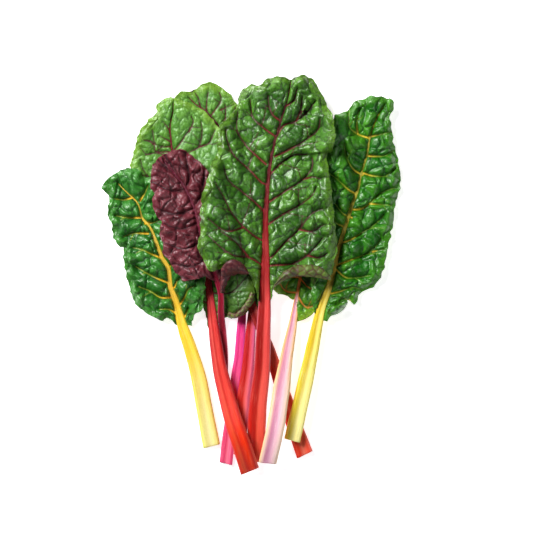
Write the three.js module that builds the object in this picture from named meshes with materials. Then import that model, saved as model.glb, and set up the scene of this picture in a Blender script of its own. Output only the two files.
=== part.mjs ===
// A loose bunch of nine rainbow chard leaves, laid flat on a table with their cut stalks together.
// Each leaf is two solids: a stalk that runs on as the midrib, and the blade that rests on that midrib.
// Units are millimetres. +Z is up, +Y runs from the cut ends to the leaf tips, and the table is the plane Z = 0.
import * as THREE from "three";

// Driving dimensions.
const BLADE_THICKNESS = 1.2;
const STALK_ROUGHNESS = 0.4;
const BLADE_ROUGHNESS = 0.45;
const THINNEST = 1; // a stalk's thickness, were it to have no width
const THICKNESS_PER_WIDTH = 0.4;
const LAYER_GAP = 0.6; // clear space kept between a piece and whatever it lies on
const BLADE_STEPS = 16; // along the midrib
const HALF_BLADE_STEPS = 3; // from the midrib to one margin
const STALK_STEP = 15; // distance between sections of a stalk
const SAG = 0.25; // how far a section sinks below the line between its neighbours
const DROOP = 0.3; // how steeply a blade falls away from its midrib until it rests on something
const CELL = 1.5; // cell of the height map, in plan
const MAP_HALF = 230; // the height map reaches this far from the origin each way
const SETTLING_PASSES = 600;
const WIDEST_BRUSH = 0.35; // how far outside a triangle a cell may lie and still be brushed, in shares of its corners
const BRUSH_PER_CELL = 4; // the same, for a triangle of the area of one cell
const LIFTING_PASSES = 12;
const CLEAR_ENOUGH = 1e-3;
const STRETCH_LAP = 0.15; // how far neighbouring stretches of a stalk lap, as a share of their length

// A stalk's section, as shares of its width and thickness: flat under, ribbed sides, a shallow channel on top.
const SECTION = [
  [-0.24, 0],
  [0.24, 0],
  [0.44, 0.28],
  [0.5, 0.66],
  [0.38, 1],
  [0, 0.86],
  [-0.38, 1],
  [-0.5, 0.66],
  [-0.44, 0.28],
];

// The leaves, in the order in which their blades are laid down.
// stalk: its middle line in plan from the cut end to the foot of the blade. midrib: the same line on to the leaf's tip.
// left and right: the margins of the blade, from foot to tip.
// width: of the stalk and then the midrib, as pairs of y and width.
const LEAVES = [
  {
    name: "magenta",
    stalk: [[-25.3, -189], [-20, -140], [-15, -102], [-12.3, -83], [-10, -54], [-8.5, -33]],
    midrib: [[-9, -10], [-12, 15], [-16, 60], [-15, 98], [-13, 112]],
    left: [[-13, -31], [-24, -8], [-38, 20], [-44, 50], [-42, 80], [-32, 102], [-18, 114]],
    right: [[-4, -31], [-4, -12], [0, 10], [4, 40], [4, 70], [-2, 100], [-9, 114]],
    width: [[-189, 12.5], [-121, 10.5], [-92, 9], [-54, 8.8], [-33, 7.7], [20, 5], [112, 1.5]],
    stalkColour: 0xd63a86,
    bladeColour: 0x3f7a2f,
  },
  {
    name: "rose",
    stalk: [[-12, -180], [-8.2, -140], [-6.6, -121], [-2.5, -92], [0.5, -50]],
    midrib: [[4, -15], [12, 25], [22, 75], [33, 120], [39, 140]],
    left: [[-4, -34], [-8, -5], [-9, 30], [-4, 65], [6, 100], [20, 128], [34, 143]],
    right: [[6, -34], [17, -10], [34, 15], [46, 45], [54, 80], [56, 110], [44, 140]],
    width: [[-180, 8.8], [-121, 9], [-92, 9.2], [-54, 9], [-15, 7], [75, 3.5], [140, 1.2]],
    stalkColour: 0xd8444c,
    bladeColour: 0x3c7430,
  },
  {
    name: "crimson_back",
    stalk: [[54, -180], [43, -149], [31, -114], [18, -73], [3, -36]],
    midrib: [[-5, -10], [-11, 25], [-19, 75], [-26, 115], [-31, 146], [-41, 159], [-54, 170], [-64, 181]],
    left: [
      [-2, -38], [-20, -10], [-38, 25], [-50, 65], [-60, 105], [-66, 140], [-71, 162], [-72, 178],
      [-69, 184],
    ],
    right: [
      [9, -38], [15, -10], [18, 25], [14, 65], [8, 105], [2, 140], [-13, 170], [-29, 188],
      [-43, 193], [-60, 185],
    ],
    width: [[-180, 17.5], [-135, 15], [-97, 12.5], [-65, 10.5], [-28, 9], [40, 6], [120, 3.5], [181, 1.2]],
    stalkColour: 0xb5202a,
    bladeColour: 0x63a83f,
  },
  {
    name: "red_front",
    stalk: [[-1, -196], [-15, -145], [-26, -107], [-35, -69], [-38, -50], [-40, -24]],
    midrib: [[-40, -18], [-46, 13], [-54, 40], [-63, 70], [-72, 100], [-79, 124], [-81, 147], [-78, 172]],
    left: [
      [-44, -31], [-51, -27], [-61, -20], [-76, 5], [-91, 35], [-106, 70], [-118, 100], [-121, 117],
      [-115, 138], [-101, 160], [-94, 172], [-83, 178],
    ],
    right: [
      [-35, -28], [-24, -33], [-9, -33], [4, -20], [-1, 5], [-11, 35], [-19, 70], [-25, 105],
      [-30, 135], [-38, 155], [-53, 169], [-71, 177],
    ],
    width: [[-196, 18], [-145, 17.5], [-93, 14.5], [-55, 11], [-20, 8], [60, 4.5], [125, 2], [172, 1.2]],
    stalkColour: 0xe2322e,
    bladeColour: 0x5da544,
  },
  {
    name: "yellow_left",
    stalk: [[-40, -171], [-47, -132], [-55, -94], [-65, -58], [-68, -48]],
    midrib: [[-75, -27], [-83, 4], [-95, 33], [-108, 57], [-126, 85], [-137, 96]],
    left: [
      [-74, -52], [-90, -45], [-103, -40], [-113, -30], [-125, 0], [-132, 29], [-140, 45],
      [-144, 64], [-148, 90], [-143, 97],
    ],
    right: [
      [-62, -52], [-51, -37], [-46, -8], [-48, 10], [-56, 30], [-66, 50], [-79, 70], [-100, 98],
      [-120, 106], [-138, 101],
    ],
    width: [[-171, 16.5], [-106, 16], [-48, 11], [-28, 5.5], [20, 4], [96, 1.5]],
    stalkColour: 0xf4cf2e,
    bladeColour: 0x2f7d33,
  },
  {
    name: "purple",
    stalk: [[-21, -101], [-24.4, -80.5], [-26, -56], [-30, -30]],
    midrib: [[-33, -12], [-38, 2], [-46, 20], [-51, 40], [-55, 62], [-61, 75], [-70, 93], [-86, 114]],
    left: [
      [-36, -22], [-41, -5], [-61, -5], [-73, 2], [-86, 18], [-91, 38], [-95, 64], [-100, 87],
      [-97, 111], [-90, 118],
    ],
    right: [
      [-26, -22], [-19, -2], [-5, 2], [-6, 20], [-16, 40], [-23, 65], [-33, 90], [-51, 107],
      [-65, 122], [-82, 121],
    ],
    width: [[-101, 8.5], [-56, 8], [-30, 6], [-15, 5], [60, 3.5], [114, 1.5]],
    stalkColour: 0xb02a48,
    bladeColour: 0x6b2335,
  },
  {
    name: "pale_pink",
    stalk: [[17, -188], [24.5, -150.5], [31, -111.5], [37, -73.5], [41.5, -54], [45, -30]],
    midrib: [[50, -18], [53, 5], [57, 25], [63, 60], [69, 105], [76, 145], [80, 162]],
    left: [[40, -28], [26, -18], [29, 5], [32, 35], [37, 75], [44, 115], [54, 145], [75, 167]],
    right: [[52, -36], [61, -31], [77, -5], [87, 25], [94, 65], [95, 105], [92, 135], [84, 166]],
    width: [[-188, 16], [-150, 17.5], [-111, 16.5], [-73, 12], [-54, 11], [-20, 8], [60, 4], [162, 1.2]],
    stalkColour: 0xf6c3cb,
    bladeColour: 0x2f6f2c,
  },
  {
    name: "yellow_right",
    stalk: [[41, -165], [49, -133], [55, -107], [64, -69], [69, -44]],
    midrib: [
      [75, -17], [85, 10], [92, 35], [99, 60], [107, 85], [116, 123], [122, 145], [128, 161],
      [137, 172],
    ],
    left: [
      [64, -45], [60, -10], [61, 15], [64, 45], [67, 75], [71, 105], [77, 130], [88, 157],
      [101, 171], [123, 179], [138, 177],
    ],
    right: [
      [75, -48], [92, -33], [107, -28], [126, -7], [135, 17], [141, 46], [148, 80], [148, 112],
      [142, 140], [139, 152], [142, 169],
    ],
    width: [[-165, 16.5], [-92, 14], [-34, 11], [12, 5], [70, 3], [172, 1.2]],
    stalkColour: 0xf3d22c,
    bladeColour: 0x2b7a2c,
  },
  {
    name: "red_centre",
    stalk: [[4.5, -187], [7, -130], [11, -92], [12.5, -54], [13.5, -18]],
    midrib: [[15, 15], [14, 55], [16, 85], [24, 135], [34, 167], [39, 188]],
    left: [
      [8, -20], [-3, 4], [-17, 16], [-38, 3], [-50, 26], [-51, 64], [-40, 105], [-32, 135],
      [-14, 166], [3, 189], [20, 197], [36, 195],
    ],
    right: [
      [20, -16], [46, -4], [75, -3], [86, 30], [82, 60], [79, 90], [77, 118], [84, 145], [77, 171],
      [61, 195], [44, 197],
    ],
    width: [
      [-187, 16], [-130, 17.6], [-92, 16], [-54, 14.8], [-8, 11], [36, 6.6], [80, 5], [121, 3],
      [188, 1.2],
    ],
    stalkColour: 0xd9302a,
    bladeColour: 0x3b8238,
  },
];

// Stalks whose cut ends are tucked in under the named leaf, which is laid before their own blades are: up to this y.
const TUCKED = { red_front: { purple: -54, red_centre: -132 } };

// The height of everything laid so far, on a square grid over the table, and which leaf is on top there.
class HeightMap {
  constructor() {
    this.size = Math.round((2 * MAP_HALF) / CELL);
    this.heights = new Float64Array(this.size * this.size);
    this.owners = new Array(this.size * this.size).fill("");
  }

  cellOf(value) {
    return Math.floor((value + MAP_HALF) / CELL);
  }

  // Calls visit(index, x, y) for each cell whose middle lies within a box in plan.
  eachCell(minX, minY, maxX, maxY, visit) {
    for (let row = this.cellOf(minY); row <= this.cellOf(maxY); row++) {
      for (let column = this.cellOf(minX); column <= this.cellOf(maxX); column++) {
        const x = (column + 0.5) * CELL - MAP_HALF;
        const y = (row + 0.5) * CELL - MAP_HALF;
        visit(row * this.size + column, x, y);
      }
    }
  }

  // The highest point within a square around a place.
  highest(x, y, reach) {
    let top = 0;
    this.eachCell(x - reach, y - reach, x + reach, y + reach, (index) => {
      top = Math.max(top, this.heights[index]);
    });
    return top;
  }

  raise(index, height, owner) {
    if (height <= this.heights[index]) return;
    this.heights[index] = height;
    this.owners[index] = owner;
  }
}

// A smooth curve through points in plan.
function planCurve(points) {
  const at = points.map(([x, y]) => new THREE.Vector3(x, y, 0));
  return new THREE.CatmullRomCurve3(at, false, "centripetal");
}

// Linear interpolation in a list of [position, value] pairs.
function valueAt(pairs, position) {
  let index = 1;
  while (index < pairs.length - 1 && pairs[index][0] < position) index++;
  const [[from, low], [to, high]] = [pairs[index - 1], pairs[index]];
  const share = THREE.MathUtils.clamp((position - from) / (to - from), 0, 1);
  return THREE.MathUtils.lerp(low, high, share);
}

// Stations along a stalk and its midrib: place, sideways direction, width, thickness and the height of the underside.
function stalkStations(leaf) {
  const points = [...leaf.stalk, ...leaf.midrib];
  const curve = planCurve(points);
  const count = Math.round(curve.getLength() / STALK_STEP);
  return Array.from({ length: count + 1 }, (_, index) => {
    const share = index / count;
    const tangent = curve.getTangentAt(share);
    const place = curve.getPointAt(share);
    const width = valueAt(leaf.width, place.y);
    return {
      leaf: leaf.name,
      place,
      side: new THREE.Vector3(-tangent.y, tangent.x, 0).normalize(),
      width,
      thickness: THINNEST + THICKNESS_PER_WIDTH * width,
      settled: false,
      z: 0,
    };
  });
}

// Calls visit(cell) for each cell of the height map that the stalk covers between two neighbouring stations.
function eachCellAlong(map, from, to, visit) {
  const reach = Math.max(from.width, to.width) / 2 + CELL / 4;
  const run = to.place.clone().sub(from.place);
  const minX = Math.min(from.place.x, to.place.x) - reach;
  const minY = Math.min(from.place.y, to.place.y) - reach;
  const maxX = Math.max(from.place.x, to.place.x) + reach;
  const maxY = Math.max(from.place.y, to.place.y) + reach;
  map.eachCell(minX, minY, maxX, maxY, (cell, x, y) => {
    const away = new THREE.Vector3(x, y, 0).sub(from.place);
    const share = away.dot(run) / run.lengthSq();
    if (share < -STRETCH_LAP || share > 1 + STRETCH_LAP) return;
    if (away.addScaledVector(run, -share).length() <= reach) visit(cell);
  });
}

// Lets a stalk down onto what is below it, as a stiff line that sags a little between the places where it rests.
function settle(stations, map) {
  const floors = stations.map(() => 0);
  for (let index = 0; index < stations.length - 1; index++) {
    const [from, to] = [stations[index], stations[index + 1]];
    eachCellAlong(map, from, to, (cell) => {
      if (map.heights[cell] === 0 || map.owners[cell] === from.leaf) return;
      const floor = map.heights[cell] + LAYER_GAP;
      floors[index] = Math.max(floors[index], floor);
      floors[index + 1] = Math.max(floors[index + 1], floor);
    });
  }
  const free = stations.map((station) => !station.settled);
  stations.forEach((station, index) => {
    if (free[index]) station.z = floors[index];
  });
  for (let pass = 0; pass < SETTLING_PASSES; pass++) {
    for (let index = 1; index < stations.length - 1; index++) {
      const middle = (stations[index - 1].z + stations[index + 1].z) / 2 - SAG;
      if (free[index]) stations[index].z = Math.max(floors[index], middle);
    }
  }
}

// A closed mesh from rings of points, each ring closed and the two ends capped.
function loft(rings) {
  const count = rings[0].length;
  const index = [];
  for (let ring = 0; ring < rings.length - 1; ring++) {
    for (let point = 0; point < count; point++) {
      const next = (point + 1) % count;
      const [a, b] = [ring * count + point, ring * count + next];
      index.push(a, b, b + count, a, b + count, a + count);
    }
  }
  const end = (rings.length - 1) * count;
  for (let point = 1; point < count - 1; point++) {
    index.push(0, point + 1, point, end, end + point, end + point + 1);
  }
  return closedGeometry(rings.flat(), index);
}

// Geometry from points and triangles, turned inside out if it would otherwise face inwards.
function closedGeometry(points, index) {
  let volume = 0;
  for (let corner = 0; corner < index.length; corner += 3) {
    const [a, b, c] = [points[index[corner]], points[index[corner + 1]], points[index[corner + 2]]];
    volume += a.dot(b.clone().cross(c));
  }
  if (volume < 0) index.reverse();
  const geometry = new THREE.BufferGeometry().setFromPoints(points);
  geometry.setIndex(index);
  geometry.computeVertexNormals();
  return geometry;
}

function stalkGeometry(stations) {
  const rings = stations.map(({ place, side, width, thickness, z }) =>
    SECTION.map(([across, up]) =>
      place.clone().addScaledVector(side, -across * width).setZ(z + up * thickness),
    ),
  );
  return loft(rings);
}

// Marks a stalk on the height map.
function markStalk(map, stations) {
  for (let index = 0; index < stations.length - 1; index++) {
    const [from, to] = [stations[index], stations[index + 1]];
    const top = Math.max(from.z + from.thickness, to.z + to.thickness);
    eachCellAlong(map, from, to, (cell) => map.raise(cell, top, from.leaf));
  }
}

// Points of a blade's upper side: rows from foot to tip, each from the left margin over the midrib to the right one.
function bladeGrid(leaf, stations, map) {
  const rib = planCurve([leaf.stalk.at(-1), ...leaf.midrib]);
  const margins = { left: planCurve(leaf.left), right: planCurve(leaf.right) };
  const rows = [];
  for (let step = 0; step <= BLADE_STEPS; step++) {
    const share = step / BLADE_STEPS;
    const middle = rib.getPointAt(share);
    const ribTop = Math.max(...nearest(stations, middle).map(({ z, thickness }) => z + thickness));
    const row = [];
    for (let across = -HALF_BLADE_STEPS; across <= HALF_BLADE_STEPS; across++) {
      const margin = (across < 0 ? margins.left : margins.right).getPointAt(share);
      const point = middle.clone().lerp(margin, Math.abs(across) / HALF_BLADE_STEPS);
      const hanging = ribTop - DROOP * point.distanceTo(middle);
      const resting = map.highest(point.x, point.y, CELL);
      point.z = BLADE_THICKNESS + LAYER_GAP + Math.max(hanging, resting);
      row.push(point);
    }
    rows.push(row);
  }
  return rows;
}

// The two stations nearest to a place.
function nearest(stations, place) {
  const sorted = [...stations].sort((a, b) => a.place.distanceTo(place) - b.place.distanceTo(place));
  return sorted.slice(0, 2);
}

// Each triangle of a grid, as row and column pairs.
function gridTriangles(rows) {
  const triangles = [];
  for (let row = 0; row < rows.length - 1; row++) {
    for (let column = 0; column < rows[0].length - 1; column++) {
      const corner = (down, right) => [row + down, column + right];
      triangles.push([corner(0, 0), corner(0, 1), corner(1, 1)], [corner(0, 0), corner(1, 1), corner(1, 0)]);
    }
  }
  return triangles;
}

// Calls visit(cell, z) with the height of a flat triangle at the middle of each cell that it covers or brushes.
function eachCellUnder(map, [a, b, c], visit) {
  const doubleArea = (b.x - a.x) * (c.y - a.y) - (c.x - a.x) * (b.y - a.y);
  if (doubleArea === 0) return;
  const brush = Math.min(WIDEST_BRUSH, BRUSH_PER_CELL * (CELL * CELL) / Math.abs(doubleArea));
  const minX = Math.min(a.x, b.x, c.x) - CELL;
  const minY = Math.min(a.y, b.y, c.y) - CELL;
  const maxX = Math.max(a.x, b.x, c.x) + CELL;
  const maxY = Math.max(a.y, b.y, c.y) + CELL;
  map.eachCell(minX, minY, maxX, maxY, (cell, x, y) => {
    const shareB = ((x - a.x) * (c.y - a.y) - (c.x - a.x) * (y - a.y)) / doubleArea;
    const shareC = ((b.x - a.x) * (y - a.y) - (x - a.x) * (b.y - a.y)) / doubleArea;
    if (shareB < -brush || shareC < -brush || shareB + shareC > 1 + brush) return;
    visit(cell, a.z + shareB * (b.z - a.z) + shareC * (c.z - a.z));
  });
}

// Raises a blade's points until no part of its underside comes nearer than the gap to what is below.
function liftClear(rows, map) {
  const triangles = gridTriangles(rows);
  for (let pass = 0; pass < LIFTING_PASSES; pass++) {
    const lifts = rows.map((row) => row.map(() => 0));
    for (const triangle of triangles) {
      const corners = triangle.map(([row, column]) => rows[row][column]);
      eachCellUnder(map, corners, (cell, z) => {
        const need = map.heights[cell] + LAYER_GAP + BLADE_THICKNESS - z;
        for (const [row, column] of triangle) lifts[row][column] = Math.max(lifts[row][column], need);
      });
    }
    for (const [down, row] of rows.entries()) {
      for (const [right, point] of row.entries()) point.z += lifts[down][right];
    }
    if (Math.max(...lifts.flat()) < CLEAR_ENOUGH) return;
  }
}

// A sheet with an upper side, an underside and a rim.
function bladeGeometry(rows) {
  const columns = rows[0].length;
  const upper = rows.flat();
  const under = upper.map((point) => point.clone().setZ(point.z - BLADE_THICKNESS));
  const number = ([row, column]) => row * columns + column;
  const index = [];
  for (const triangle of gridTriangles(rows)) {
    const [a, b, c] = triangle.map(number);
    index.push(a, b, c, a + upper.length, c + upper.length, b + upper.length);
  }
  const last = rows.length - 1;
  const rim = [];
  for (let column = 0; column < columns; column++) rim.push(number([0, column]));
  for (let row = 1; row <= last; row++) rim.push(number([row, columns - 1]));
  for (let column = columns - 2; column >= 0; column--) rim.push(number([last, column]));
  for (let row = last - 1; row > 0; row--) rim.push(number([row, 0]));
  rim.forEach((from, position) => {
    const to = rim[(position + 1) % rim.length];
    index.push(from, from + upper.length, to + upper.length, from, to + upper.length, to);
  });
  return closedGeometry([...upper, ...under], index);
}

function markBlade(map, rows, owner) {
  for (const triangle of gridTriangles(rows)) {
    const corners = triangle.map(([row, column]) => rows[row][column]);
    eachCellUnder(map, corners, (cell, z) => map.raise(cell, z, owner));
  }
}

function namedMesh(name, geometry, colour, roughness) {
  const mesh = new THREE.Mesh(geometry, new THREE.MeshStandardMaterial({ color: colour, roughness, metalness: 0 }));
  mesh.name = name;
  return mesh;
}

const bunch = new THREE.Group();
const pile = new HeightMap();
const stationsOf = new Map(LEAVES.map((leaf) => [leaf.name, stalkStations(leaf)]));
for (const leaf of LEAVES) {
  for (const [name, limit] of Object.entries(TUCKED[leaf.name] ?? {})) {
    const tucked = stationsOf.get(name);
    settle(tucked, pile);
    for (const station of tucked) station.settled = station.place.y <= limit;
    markStalk(pile, tucked.filter(({ settled }) => settled));
  }
  const stations = stationsOf.get(leaf.name);
  settle(stations, pile);
  markStalk(pile, stations);
  const rows = bladeGrid(leaf, stations, pile);
  liftClear(rows, pile);
  markBlade(pile, rows, leaf.name);
  bunch.add(namedMesh(`${leaf.name}_stalk`, stalkGeometry(stations), leaf.stalkColour, STALK_ROUGHNESS));
  bunch.add(namedMesh(`${leaf.name}_blade`, bladeGeometry(rows), leaf.bladeColour, BLADE_ROUGHNESS));
}

export default bunch;
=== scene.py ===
"""A loose bunch of nine rainbow chard leaves, laid flat with their cut stalks together.

Every leaf is two pieces, a stalk that runs on as the midrib and a blade. The leaves are laid down one after
another on a height map of the pile. Lengths in this file are millimetres until a mesh is made.
"""

import logging
from dataclasses import dataclass, field
from enum import Enum
from typing import Any, Sequence

import bpy
import numpy as np
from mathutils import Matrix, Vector


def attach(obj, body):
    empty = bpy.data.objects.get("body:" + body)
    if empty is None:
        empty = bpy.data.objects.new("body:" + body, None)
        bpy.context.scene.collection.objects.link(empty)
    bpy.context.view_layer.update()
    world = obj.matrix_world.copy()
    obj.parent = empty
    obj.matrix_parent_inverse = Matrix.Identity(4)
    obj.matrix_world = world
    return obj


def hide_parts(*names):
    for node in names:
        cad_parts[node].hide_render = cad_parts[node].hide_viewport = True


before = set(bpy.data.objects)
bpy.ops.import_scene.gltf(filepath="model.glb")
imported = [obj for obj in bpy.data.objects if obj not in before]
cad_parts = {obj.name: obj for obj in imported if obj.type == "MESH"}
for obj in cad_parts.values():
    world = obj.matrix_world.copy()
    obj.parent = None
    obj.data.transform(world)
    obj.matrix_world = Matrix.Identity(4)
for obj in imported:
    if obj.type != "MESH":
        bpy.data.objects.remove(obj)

Array = np.ndarray
Plan = Sequence[tuple[float, ...]]
Colour = tuple[int, int, int]
MM = 0.001
LOG = logging.getLogger("chard")

# Scales of the materials' noises and cells, in cells per metre, from broad patches to the finest veins.
PATCHES, SPOTS, TWIGS, CRINKLE, MOTTLE, HAIRS, GRAIN = 38.0, 120.0, 170.0, 210.0, 240.0, 420.0, 700.0
# Farther than any blade reaches from its midrib.
FAR = 300.0
# Farther than any blade reaches from its margin.
BROAD = 60.0
# Half widths, at the root and at the end, of a line that has no width.
NO_TAPER = (0.0, 0.0)
# Points of every side vein and of every fork.
VEIN_POINTS, FORK_POINTS = 26, 14


# ---------------------------------------------------------------- curves and fields


def smooth_curve(points: Plan, count: int) -> Array:
    """Centripetal Catmull-Rom curve through points, resampled evenly by length.

    Args:
        points: the places that the curve passes through, in two or three dimensions.
        count: how many points to give back.

    Returns:
        An array of count points.
    """
    knots = np.asarray(points, float)
    ends = np.vstack([2 * knots[0] - knots[1], knots, 2 * knots[-1] - knots[-2]])
    gaps = np.maximum(np.linalg.norm(np.diff(ends, axis=0), axis=1), 1e-6) ** 0.5
    times = np.concatenate([[0.0], np.cumsum(gaps)])
    share = np.linspace(0, 1, 24)[None, :, None]
    t0, t1, t2, t3 = (times[k : len(times) - 3 + k][:, None, None] for k in range(4))
    p0, p1, p2, p3 = (ends[k : len(ends) - 3 + k][:, None, :] for k in range(4))
    t = t1 + (t2 - t1) * share
    a1 = ((t1 - t) * p0 + (t - t0) * p1) / (t1 - t0)
    a2 = ((t2 - t) * p1 + (t - t1) * p2) / (t2 - t1)
    a3 = ((t3 - t) * p2 + (t - t2) * p3) / (t3 - t2)
    b1 = ((t2 - t) * a1 + (t - t0) * a2) / (t2 - t0)
    b2 = ((t3 - t) * a2 + (t - t1) * a3) / (t3 - t1)
    dense = (((t2 - t) * b1 + (t - t1) * b2) / (t2 - t1)).reshape(-1, knots.shape[1])
    run = np.concatenate([[0.0], np.cumsum(np.linalg.norm(np.diff(dense, axis=0), axis=1))])
    wanted = np.linspace(0, run[-1], count)
    return np.column_stack([np.interp(wanted, run, dense[:, axis]) for axis in range(dense.shape[1])])


def curve_length(points: Plan) -> float:
    """Length of the smooth curve through points."""
    return float(np.linalg.norm(np.diff(smooth_curve(points, 200), axis=0), axis=1).sum())


def fade(value: Array, low: float, high: float) -> Array:
    """Smooth step: 0 at low, 1 at high, 3t^2 - 2t^3 between."""
    share = np.clip((value - low) / (high - low), 0, 1)
    return share * share * (3 - 2 * share)


def dome(value: Array, reach: float) -> Array:
    """Rounded rise from a crease: 1 - (1 - value / reach)^2, level past the reach."""
    return 1 - (1 - np.clip(value / reach, 0, 1)) ** 2


def swell(plan: Array, seed: int, wavelength: float) -> Array:
    """Gentle swell: the mean of seven plane waves with directions, lengths and phases drawn from a seed.

    Args:
        plan: places in plan, with x and y on the last axis.
        seed: number that picks the waves.
        wavelength: middle wavelength in millimetres.

    Returns:
        Heights of about -1 to 1.
    """
    rng = np.random.default_rng(seed)
    angle = rng.uniform(0, 2 * np.pi, 7)
    pace = 2 * np.pi / (wavelength * rng.uniform(0.65, 1.5, 7))
    phase = rng.uniform(0, 2 * np.pi, 7)
    arg = (plan[..., 0:1] * np.cos(angle) + plan[..., 1:2] * np.sin(angle)) * pace + phase
    return np.sin(arg).sum(axis=-1) / 3.2


def drift(plan: Array, seed: int, wavelength: float) -> Array:
    """Two swells, with a seed and the next, as a shift in x and in y."""
    return np.stack([swell(plan, seed, wavelength), swell(plan, seed + 1, wavelength)], axis=-1)


def cell_edges(plan: Array, spacing: float, seed: int, stretch: float = 1.0) -> tuple[Array, Array]:
    """Distance to the borders of blister cells: (d2^2 - d1^2) / (2 |s2 - s1|) for the two nearest seeds.

    The seeds stand on a jittered grid, and only the twenty-five grid cells around each place are searched.

    Args:
        plan: places in plan, with x and y on the last axis.
        spacing: mean distance between seeds.
        seed: number that picks the jitter.
        stretch: how many times longer the cells are along x than along y.

    Returns:
        The distance to the nearest border, and a random number from 0 to 1 for the cell.
    """
    shape = plan.shape[:-1]
    scaled = plan.reshape(-1, 2) / np.array([spacing * stretch, spacing])
    base = np.floor(scaled).astype(int)
    shift = np.array([(i, j) for i in range(-2, 3) for j in range(-2, 3)])
    corner = base[:, None, :] + shift[None]
    size = 512
    rng = np.random.default_rng(seed)
    jitter = rng.uniform(0.08, 0.92, (size, size, 2))
    tint = rng.uniform(0, 1, (size, size))
    i, j = corner[..., 0] % size, corner[..., 1] % size
    seeds = (corner + jitter[i, j]) * np.array([spacing * stretch, spacing])
    squared = ((seeds - plan.reshape(-1, 1, 2)) ** 2).sum(axis=-1)
    order = np.argpartition(squared, 2, axis=1)[:, :2]
    near = np.take_along_axis(squared, order, axis=1)
    swap = near[:, 0] > near[:, 1]
    order[swap] = order[swap][:, ::-1]
    near = np.sort(near, axis=1)
    first = np.take_along_axis(seeds, order[:, :1, None], axis=1)[:, 0]
    second = np.take_along_axis(seeds, order[:, 1:2, None], axis=1)[:, 0]
    apart = np.linalg.norm(first - second, axis=1)
    edge = (near[:, 1] - near[:, 0]) / (2 * apart)
    own = np.take_along_axis(tint[i, j], order[:, :1], axis=1)[:, 0]
    return edge.reshape(shape), own.reshape(shape)


def line_distance(
    plan: Array, lines: Sequence[Array], taper: tuple[float, float], within: float = 16.0
) -> tuple[Array, Array]:
    """Distance from each place to the nearest of several veins, less the vein's own half width there.

    Args:
        plan: places in plan, with x and y on the last axis.
        lines: each vein as an array of points, from its root to its end.
        taper: half width at the root and at the end.
        within: how far beyond a vein's own extent its distance is worked out.

    Returns:
        The distance beyond the vein's side, and how far along that vein the place lies, from 0 to 1.
    """
    shape = plan.shape[:-1]
    flat = plan.reshape(-1, 2).astype(np.float32)
    best = np.full(len(flat), 1e3, np.float32)
    along = np.zeros(len(flat), np.float32)
    for line in lines:
        start, run = line[:-1].astype(np.float32), np.diff(line, axis=0).astype(np.float32)
        low, high = line.min(axis=0) - within, line.max(axis=0) + within
        inside = np.nonzero(((flat > low) & (flat < high)).all(axis=1))[0]
        if not len(inside):
            continue
        away = flat[inside, None, :] - start[None]
        share = np.clip((away * run).sum(-1) / np.maximum((run * run).sum(-1), 1e-6), 0, 1)
        gap = np.linalg.norm(away - share[..., None] * run, axis=-1)
        pick = gap.argmin(axis=1)
        rows = np.arange(len(inside))
        place = (pick + share[rows, pick]) / len(start)
        beyond = gap[rows, pick] - (taper[0] + (taper[1] - taper[0]) * place)
        better = beyond < best[inside]
        best[inside[better]] = beyond[better]
        along[inside[better]] = place[better]
    return best.reshape(shape), along.reshape(shape)


# ---------------------------------------------------------------- the pile


@dataclass
class Pile:
    """Height of everything laid so far, on a square grid over the table, and which leaf is on top there."""

    cell: float = 1.5
    reach: float = 240.0
    heights: Array = field(init=False)
    owners: Array = field(init=False)

    def __post_init__(self) -> None:
        """Starts with a bare table."""
        size = int(2 * self.reach / self.cell)
        self.heights = np.zeros((size, size))
        self.owners = np.zeros((size, size), int)

    def cells(self, plan: Array) -> tuple[Array, Array]:
        """Column and row of the cell that each place lies in.

        Args:
            plan: places in plan, with x and y on the last axis.

        Returns:
            The column numbers and the row numbers.
        """
        index = np.floor((plan + self.reach) / self.cell).astype(int)
        index = np.clip(index, 0, len(self.heights) - 1)
        return index[..., 0], index[..., 1]

    def add(self, points: Array, owner: int) -> None:
        """Raises the map to a cloud of points, given as x, y and z, for one leaf.

        Args:
            points: the cloud.
            owner: number of the leaf.
        """
        i, j = self.cells(points[..., :2])
        before = self.heights.copy()
        np.maximum.at(self.heights, (i.ravel(), j.ravel()), points[..., 2].ravel())
        self.owners[self.heights > before] = owner

    def floor(self, plan: Array, owner: int) -> Array:
        """Height under each place, leaving out cells where one leaf itself is on top."""
        i, j = self.cells(plan)
        return np.where(self.owners[i, j] == owner, 0.0, self.heights[i, j])

    def bed(self, spread: int, soften: int) -> "Bed":
        """A softened copy that nowhere dips below the pile: the highest within spread cells, then blurred.

        Args:
            spread: reach of the highest-within filter, in cells, at least twice soften.
            soften: reach of each of the two blurring passes, in cells.

        Returns:
            The softened map.
        """
        high = self.heights
        for axis in (0, 1):
            high = np.max([np.roll(high, k, axis) for k in range(-spread, spread + 1)], axis=0)
        for axis in (0, 1, 0, 1):
            high = np.mean([np.roll(high, k, axis) for k in range(-soften, soften + 1)], axis=0)
        return Bed(self.cell, self.reach, high)


@dataclass
class Bed:
    """A softened height map that blades lie on."""

    cell: float
    reach: float
    heights: Array

    def at(self, plan: Array) -> Array:
        """Height at each place, blended between the four nearest cells.

        Args:
            plan: places in plan, with x and y on the last axis.

        Returns:
            The heights.
        """
        spot = (plan + self.reach) / self.cell - 0.5
        base = np.clip(np.floor(spot).astype(int), 0, len(self.heights) - 2)
        x, y = np.moveaxis(spot - base, -1, 0)
        i, j = base[..., 0], base[..., 1]
        h = self.heights
        return (h[i, j] * (1 - x) + h[i + 1, j] * x) * (1 - y) + (h[i, j + 1] * (1 - x) + h[i + 1, j + 1] * x) * y


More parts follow.
